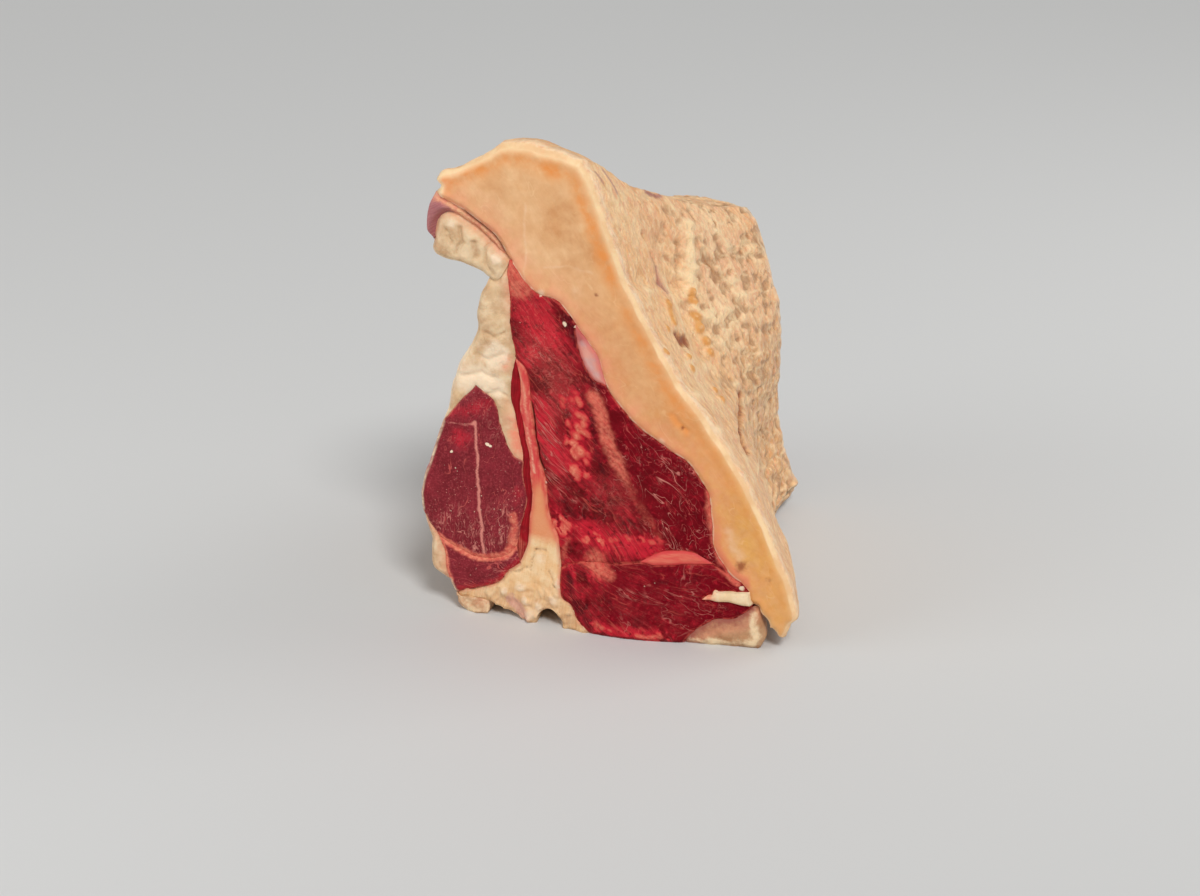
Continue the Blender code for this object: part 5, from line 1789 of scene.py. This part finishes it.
def build_layer(context, name, relief, marks, slot, face=1, rows=1, reach=1):
    """One layer of the piece: its closed surface with relief, its marks, finish and duties.

    relief gives how far cut faces stand out and sides swell; marks give the masks that the
    finish reads. face and rows make the mesh coarser or finer than the rest, and reach is the
    share of the depth that the layer runs through.
    """
    shape = context.scene.tbone_shape
    layer = Layer(name, face * shape.face_step / MM, shape.side_step / MM,
                  rows * shape.row_step / MM, reach)
    lift, swell = relief(layer)
    points = layer.place(lift * shape.relief, swell * shape.relief, shape.wander / MM)
    piece = layer.make(points, {**common_marks(layer), **marks(layer)})
    piece.data.materials.append(finish_of(slot, context.scene.tbone_colours))
    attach(piece, "root")
    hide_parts(name)


# ------------------------------------------------------------------ properties

def colour(name, description, default):
    """A colour property."""
    return FloatVectorProperty(name=name, description=description, default=default,
                               subtype="COLOR", size=3, min=0.0, max=1.0)


def length(name, description, default, least, most):
    """A length property, in metres."""
    return FloatProperty(name=name, description=description, default=default, min=least,
                         max=most, unit="LENGTH", precision=5)


class TboneShape(PropertyGroup):
    """Sizes of the mesh and of the relief."""
    face_step: length("Cut grid", "Spacing of the points on the cut faces", 0.0008, 0.0004, 0.004)
    side_step: length("Side grid", "Spacing of the points round the outside", 0.0011, 0.0006,
                      0.004)
    row_step: length("Row grid", "Spacing of the rows from the near cut to the far one", 0.0012,
                     0.0006, 0.006)
    wander: length("Wandering seams", "How far seams stray from their smooth lines", 0.0009,
                   0.0, 0.003)
    relief: FloatProperty(name="Relief", description="Strength of lumps, fibres and grooves",
                          default=1.0, min=0.0, max=2.0, subtype="FACTOR")


class TboneColours(PropertyGroup):
    """Colours of the meat, fat and bone."""
    meat_deep: colour("Deep meat", "Loin muscle in the shade", (0.105, 0.003, 0.005))
    meat_red: colour("Red meat", "Loin muscle", (0.33, 0.008, 0.018))
    meat_bright: colour("Bright meat", "Freshly cut muscle", (0.62, 0.02, 0.038))
    # Also used as painted shade in the loin's slit.
    meat_brown_and_shade: colour("Brown meat", "Dried muscle", (0.045, 0.003, 0.006))
    meat_glaze: colour("Wet meat", "Deep red where the muscle is wet", (0.18, 0.0015, 0.008))
    meat_pink: colour("Pink strands", "Thin fat between fibres", (0.66, 0.12, 0.1))
    salmon: colour("Salmon", "Fat mixed with meat", (0.7, 0.12, 0.085))
    # Also paints the highlight on the tops of the loin's salmon grains.
    salmon_pale: colour("Pale salmon", "Fat next to meat", (0.82, 0.28, 0.17))
    marbling: colour("Marbling", "Marbling lines", (0.70, 0.25, 0.20))
    # White fat, and also the painted wet glints on the muscle and the painted highlight outside the
    # fat's ridge.
    white_fat_and_glint: colour("White fat", "Driest and whitest fat", (0.92, 0.74, 0.54))
    plum: colour("Plum", "Fillet muscle", (0.25, 0.021, 0.031))
    plum_deep: colour("Deep plum", "Fillet muscle in the shade", (0.14, 0.01, 0.015))
    plum_pale: colour("Pale plum", "Fillet grain", (0.42, 0.06, 0.07))
    silverskin: colour("Silverskin", "Sinew and membranes", (0.6, 0.33, 0.31))
    fat: colour("Back fat", "Cut back fat", (0.70, 0.32, 0.115))
    # Also paints highlights: along the fat's ridge and on the tops of the amber nodules.
    fat_pale: colour("Pale back fat", "Lighter patches of the cut", (0.83, 0.52, 0.27))
    fat_gold: colour("Golden fat", "Lower part of the cut", (0.76, 0.385, 0.08))
    fat_tan: colour("Tan fat", "Tan patches of the cut", (0.6, 0.27, 0.1))
    fat_orange: colour("Orange fat", "Band inside the rim", (0.79, 0.29, 0.07))
    hide: colour("Outer fat", "Fibrous outside of the fat", (0.88, 0.445, 0.185))
    # Also paints highlights outside: a pool of light, the lumps and ridges, and along the rim.
    hide_pale: colour("Pale outer fat", "Raised streaks outside", (0.97, 0.72, 0.42))
    # Also paints shade outside: the far lower zone, and part of the hole and creases.
    hide_tan: colour("Tan outer fat", "Tan patches outside", (0.58, 0.27, 0.10))
    hide_rose: colour("Rose outer fat", "Pink patches outside", (0.78, 0.34, 0.19))
    # Painted shade for the dimples and pits outside.
    hide_hollow_shade: colour("Grey outer fat", "Hollows outside", (0.42, 0.19, 0.08))
    amber: colour("Amber", "Small waxy lumps", (0.74, 0.32, 0.07))
    bruise: colour("Bruise", "Purple stains outside", (0.34, 0.10, 0.12))
    # Cracks and dark specks, and also painted shade in creases and grooves.
    stain_and_shade: colour("Brown stain", "Cracks and dark specks", (0.20, 0.055, 0.02))
    # Part staining, part painted shade in the hole and creases outside.
    stain_red: colour("Red-brown stain", "Hole and crease outside", (0.25, 0.05, 0.018))
    suet: colour("Suet", "Kidney fat", (0.8, 0.58, 0.34))
    suet_pale: colour("Pale suet", "Lobes of the kidney fat", (0.9, 0.73, 0.49))
    # Painted shade in the creases of the suet, the tail lump and the hip fat.
    suet_tan: colour("Tan suet", "Creases of the kidney fat", (0.5, 0.28, 0.14))
    strap: colour("Strap", "Dark strip beside the bone", (0.22, 0.004, 0.006))
    purple: colour("Dried meat", "Thin flank muscle", (0.36, 0.11, 0.12))
    purple_pale: colour("Pale dried meat", "Its paler fibres", (0.58, 0.27, 0.24))
    bone: colour("Bone", "Sawn bone", (0.78, 0.45, 0.20))
    bone_pale: colour("Pale bone", "Lightest bone", (0.9, 0.7, 0.44))
    bone_tan: colour("Tan bone", "Marrow and stains", (0.54, 0.27, 0.12))
    bone_orange: colour("Orange bone", "Upper part of the bone", (0.72, 0.25, 0.11))
    gristle: colour("Gristle", "Cartilage", (0.45, 0.23, 0.11))


class TboneStage(PropertyGroup):
    """Floor, lights and camera."""
    floor_reach: length("Floor", "Half the width of the floor", 6.0, 1.0, 30.0)
    floor_colour: colour("Floor colour", "Plain pale floor", (0.66, 0.66, 0.65))
    sky: FloatProperty(name="Sky", description="Brightness of the even light from all round",
                       default=0.3, min=0.0, max=5.0)
    key: FloatProperty(name="Key light", description="Strength of the main light",
                       default=1.9, min=0.0)
    fill: FloatProperty(name="Fill light", description="Power of the weaker light", default=4.0,
                        min=0.0, unit="POWER")
    back: FloatProperty(name="Back light", description="Power of the light behind on the right",
                        default=3.0, min=0.0, unit="POWER")
    tilt: FloatProperty(name="Tilt", description="How far the camera looks down",
                        default=math.radians(20.379), subtype="ANGLE")
    turn: FloatProperty(name="Turn", description="How far the camera stands to the right",
                        default=math.radians(18.0), subtype="ANGLE")
    camera_at: FloatVectorProperty(name="Camera", description="Where the camera stands",
                                   default=(0.3260, -1.0843, 0.4740), subtype="TRANSLATION",
                                   size=3)
    lens: FloatProperty(name="Lens", description="Focal length in millimetres", default=81.0,
                        min=10.0, max=300.0)


# ------------------------------------------------------------------ operators

class AddBackFat(Operator):
    """Adds the thick cap of back fat, cut at both ends and fibrous outside"""
    bl_idname = "tbone.add_back_fat"
    bl_label = "Back Fat"

    def execute(self, context):
        build_layer(context, "fat_cap", fat_cap_relief, fat_cap_marks, "back_fat")
        return {"FINISHED"}


class AddTail(Operator):
    """Adds the tail at the top left: a thin flank muscle and a lump of fat"""
    bl_idname = "tbone.add_tail"
    bl_label = "Tail"

    def execute(self, context):
        build_layer(context, "flank_muscle", flank_relief, flank_marks, "flank_meat")
        build_layer(context, "tail_fat", tail_relief, tail_marks, "suet")
        return {"FINISHED"}


class AddSuet(Operator):
    """Adds the kidney fat above the fillet, and the strip of fat outside the fillet's foot"""
    bl_idname = "tbone.add_suet"
    bl_label = "Suet"

    def execute(self, context):
        build_layer(context, "suet", suet_relief, suet_marks, "suet")
        build_layer(context, "hip_fat", hip_relief, hip_marks, "suet")
        return {"FINISHED"}


class AddFillets(Operator):
    """Adds the fillet and the small fillet below it"""
    bl_idname = "tbone.add_fillets"
    bl_label = "Fillets"

    def execute(self, context):
        build_layer(context, "fillet", fillet_relief, fillet_marks, "fillet_meat")
        build_layer(context, "small_fillet", small_fillet_relief, small_fillet_marks,
                    "fillet_meat")
        return {"FINISHED"}


class AddBone(Operator):
    """Adds the sawn T-shaped bone, the tag under its arm and the gristly tip of the spine"""
    bl_idname = "tbone.add_bone"
    bl_label = "Bone"

    def execute(self, context):
        build_layer(context, "bone", bone_relief, bone_marks, "bone")
        build_layer(context, "bone_tag", tag_relief, tag_marks, "gristle", reach=TAG_DEPTH_SHARE)
        build_layer(context, "spine_tip", spine_relief, spine_marks, "gristle")
        return {"FINISHED"}


class AddLoin(Operator):
    """Adds the loin eye and the muscle under it"""
    bl_idname = "tbone.add_loin"
    bl_label = "Loin"

    def execute(self, context):
        build_layer(context, "loin_eye", loin_relief, loin_marks, "loin_meat", 0.85, 5.0)
        build_layer(context, "lower_muscle", lower_relief, lower_marks, "loin_meat")
        return {"FINISHED"}


class AddStrap(Operator):
    """Adds the dark strap of muscle between bone and fillet"""
    bl_idname = "tbone.add_strap"
    bl_label = "Strap"

    def execute(self, context):
        build_layer(context, "strap_muscle", strap_relief, strap_marks, "strap_meat")
        return {"FINISHED"}


class AddSeams(Operator):
    """Adds the sinew above the loin, the fat seam below it and the strand of fat at its end"""
    bl_idname = "tbone.add_seams"
    bl_label = "Seams"

    def execute(self, context):
        build_layer(context, "sinew", band_relief, band_marks, "sinew", 0.75, 3.0)
        build_layer(context, "seam_fat", band_relief, band_marks, "seam_fat", 0.75, 3.0)
        build_layer(context, "fat_strand", strand_relief, band_marks, "suet", 0.75, 2.0)
        return {"FINISHED"}


# Where each lamp stands and how wide it is, in metres; the one without a width is far off
LAMPS = {"key": ((0.50, -0.75, 1.00), None), "fill": ((-0.80, -0.75, 0.45), 0.8),
         "back": ((0.75, 0.45, 0.80), 0.7)}
SUN_SPREAD = math.radians(16.0)
FILM_WIDTH = 36.0


def soft_light(name, power, target):
    """A lamp that faces a target."""
    place, size = LAMPS[name]
    light = bpy.data.lights.new(name, "AREA" if size else "SUN")
    if size:
        light.size = size
    else:
        light.angle = SUN_SPREAD
    light.energy = power
    lamp = bpy.data.objects.new(name, light)
    lamp.location = place
    lamp.rotation_euler = (Vector(target) - Vector(place)).to_track_quat("-Z", "Y").to_euler()
    bpy.context.scene.collection.objects.link(lamp)


class SetStage(Operator):
    """Adds the plain pale floor, the soft studio light and the camera"""
    bl_idname = "tbone.set_stage"
    bl_label = "Stage"

    def execute(self, context):
        scene, stage = context.scene, context.scene.tbone_stage
        scene.view_settings.view_transform = "Standard"
        reach = stage.floor_reach
        mesh = bpy.data.meshes.new("floor")
        mesh.from_pydata([(-reach, -reach, 0.0), (reach, -reach, 0.0), (reach, reach, 0.0),
                          (-reach, reach, 0.0)], [], [(0, 1, 2, 3)])
        floor = bpy.data.objects.new("floor", mesh)
        scene.collection.objects.link(floor)
        paint = bpy.data.materials.new("Floor")
        paint.use_nodes = True
        shader = paint.node_tree.nodes["Principled BSDF"]
        shader.inputs["Base Color"].default_value = (*stage.floor_colour, 1.0)
        shader.inputs["Roughness"].default_value = 0.7
        mesh.materials.append(paint)
        floor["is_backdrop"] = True

        low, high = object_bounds()
        middle = [(a + b) / 2.0 for a, b in zip(low, high)]
        for name in LAMPS:
            soft_light(name, getattr(stage, name), middle)
        world = bpy.data.worlds.new("Studio")
        world.use_nodes = True
        sky = world.node_tree.nodes["Background"].inputs
        sky["Color"].default_value = (1.0, 1.0, 1.0, 1.0)
        sky["Strength"].default_value = stage.sky
        scene.world = world

        lens = bpy.data.cameras.new("camera")
        lens.lens = stage.lens
        lens.sensor_width = FILM_WIDTH
        camera = bpy.data.objects.new("camera", lens)
        camera.location = stage.camera_at
        camera.rotation_euler = (math.radians(90.0) - stage.tilt, 0.0, stage.turn)
        scene.collection.objects.link(camera)
        scene.camera = camera
        return {"FINISHED"}


class TbonePanel(Panel):
    """Sizes, colours and buttons of the T-bone cut"""
    bl_idname = "VIEW3D_PT_tbone"
    bl_label = "T-bone Cut"
    bl_space_type = "VIEW_3D"
    bl_region_type = "UI"
    bl_category = "T-bone"

    def draw(self, context):
        for title, group in (("Shape", "tbone_shape"), ("Colours", "tbone_colours"),
                             ("Stage", "tbone_stage")):
            box = self.layout.box()
            box.label(text=title)
            settings = getattr(context.scene, group)
            for key in type(settings).__annotations__:
                box.prop(settings, key)
        for operator in OPERATORS:
            self.layout.operator(operator.bl_idname)


GROUPS = {"tbone_shape": TboneShape, "tbone_colours": TboneColours, "tbone_stage": TboneStage}
OPERATORS = (AddBackFat, AddTail, AddSuet, AddFillets, AddBone, AddLoin, AddStrap, AddSeams,
             SetStage)


def register():
    """Registers the classes and hangs the settings on the scene."""
    for kind in (*GROUPS.values(), *OPERATORS, TbonePanel):
        bpy.utils.register_class(kind)
    for key, kind in GROUPS.items():
        setattr(bpy.types.Scene, key, PointerProperty(type=kind))


def unregister():
    """Takes the settings and the classes away again."""
    for key in GROUPS:
        delattr(bpy.types.Scene, key)
    for kind in (TbonePanel, *OPERATORS, *GROUPS.values()):
        bpy.utils.unregister_class(kind)


def main():
    register()
    for operator in OPERATORS:
        group, name = operator.bl_idname.split(".")
        getattr(getattr(bpy.ops, group), name)()


if __name__ == "__main__":
    main()
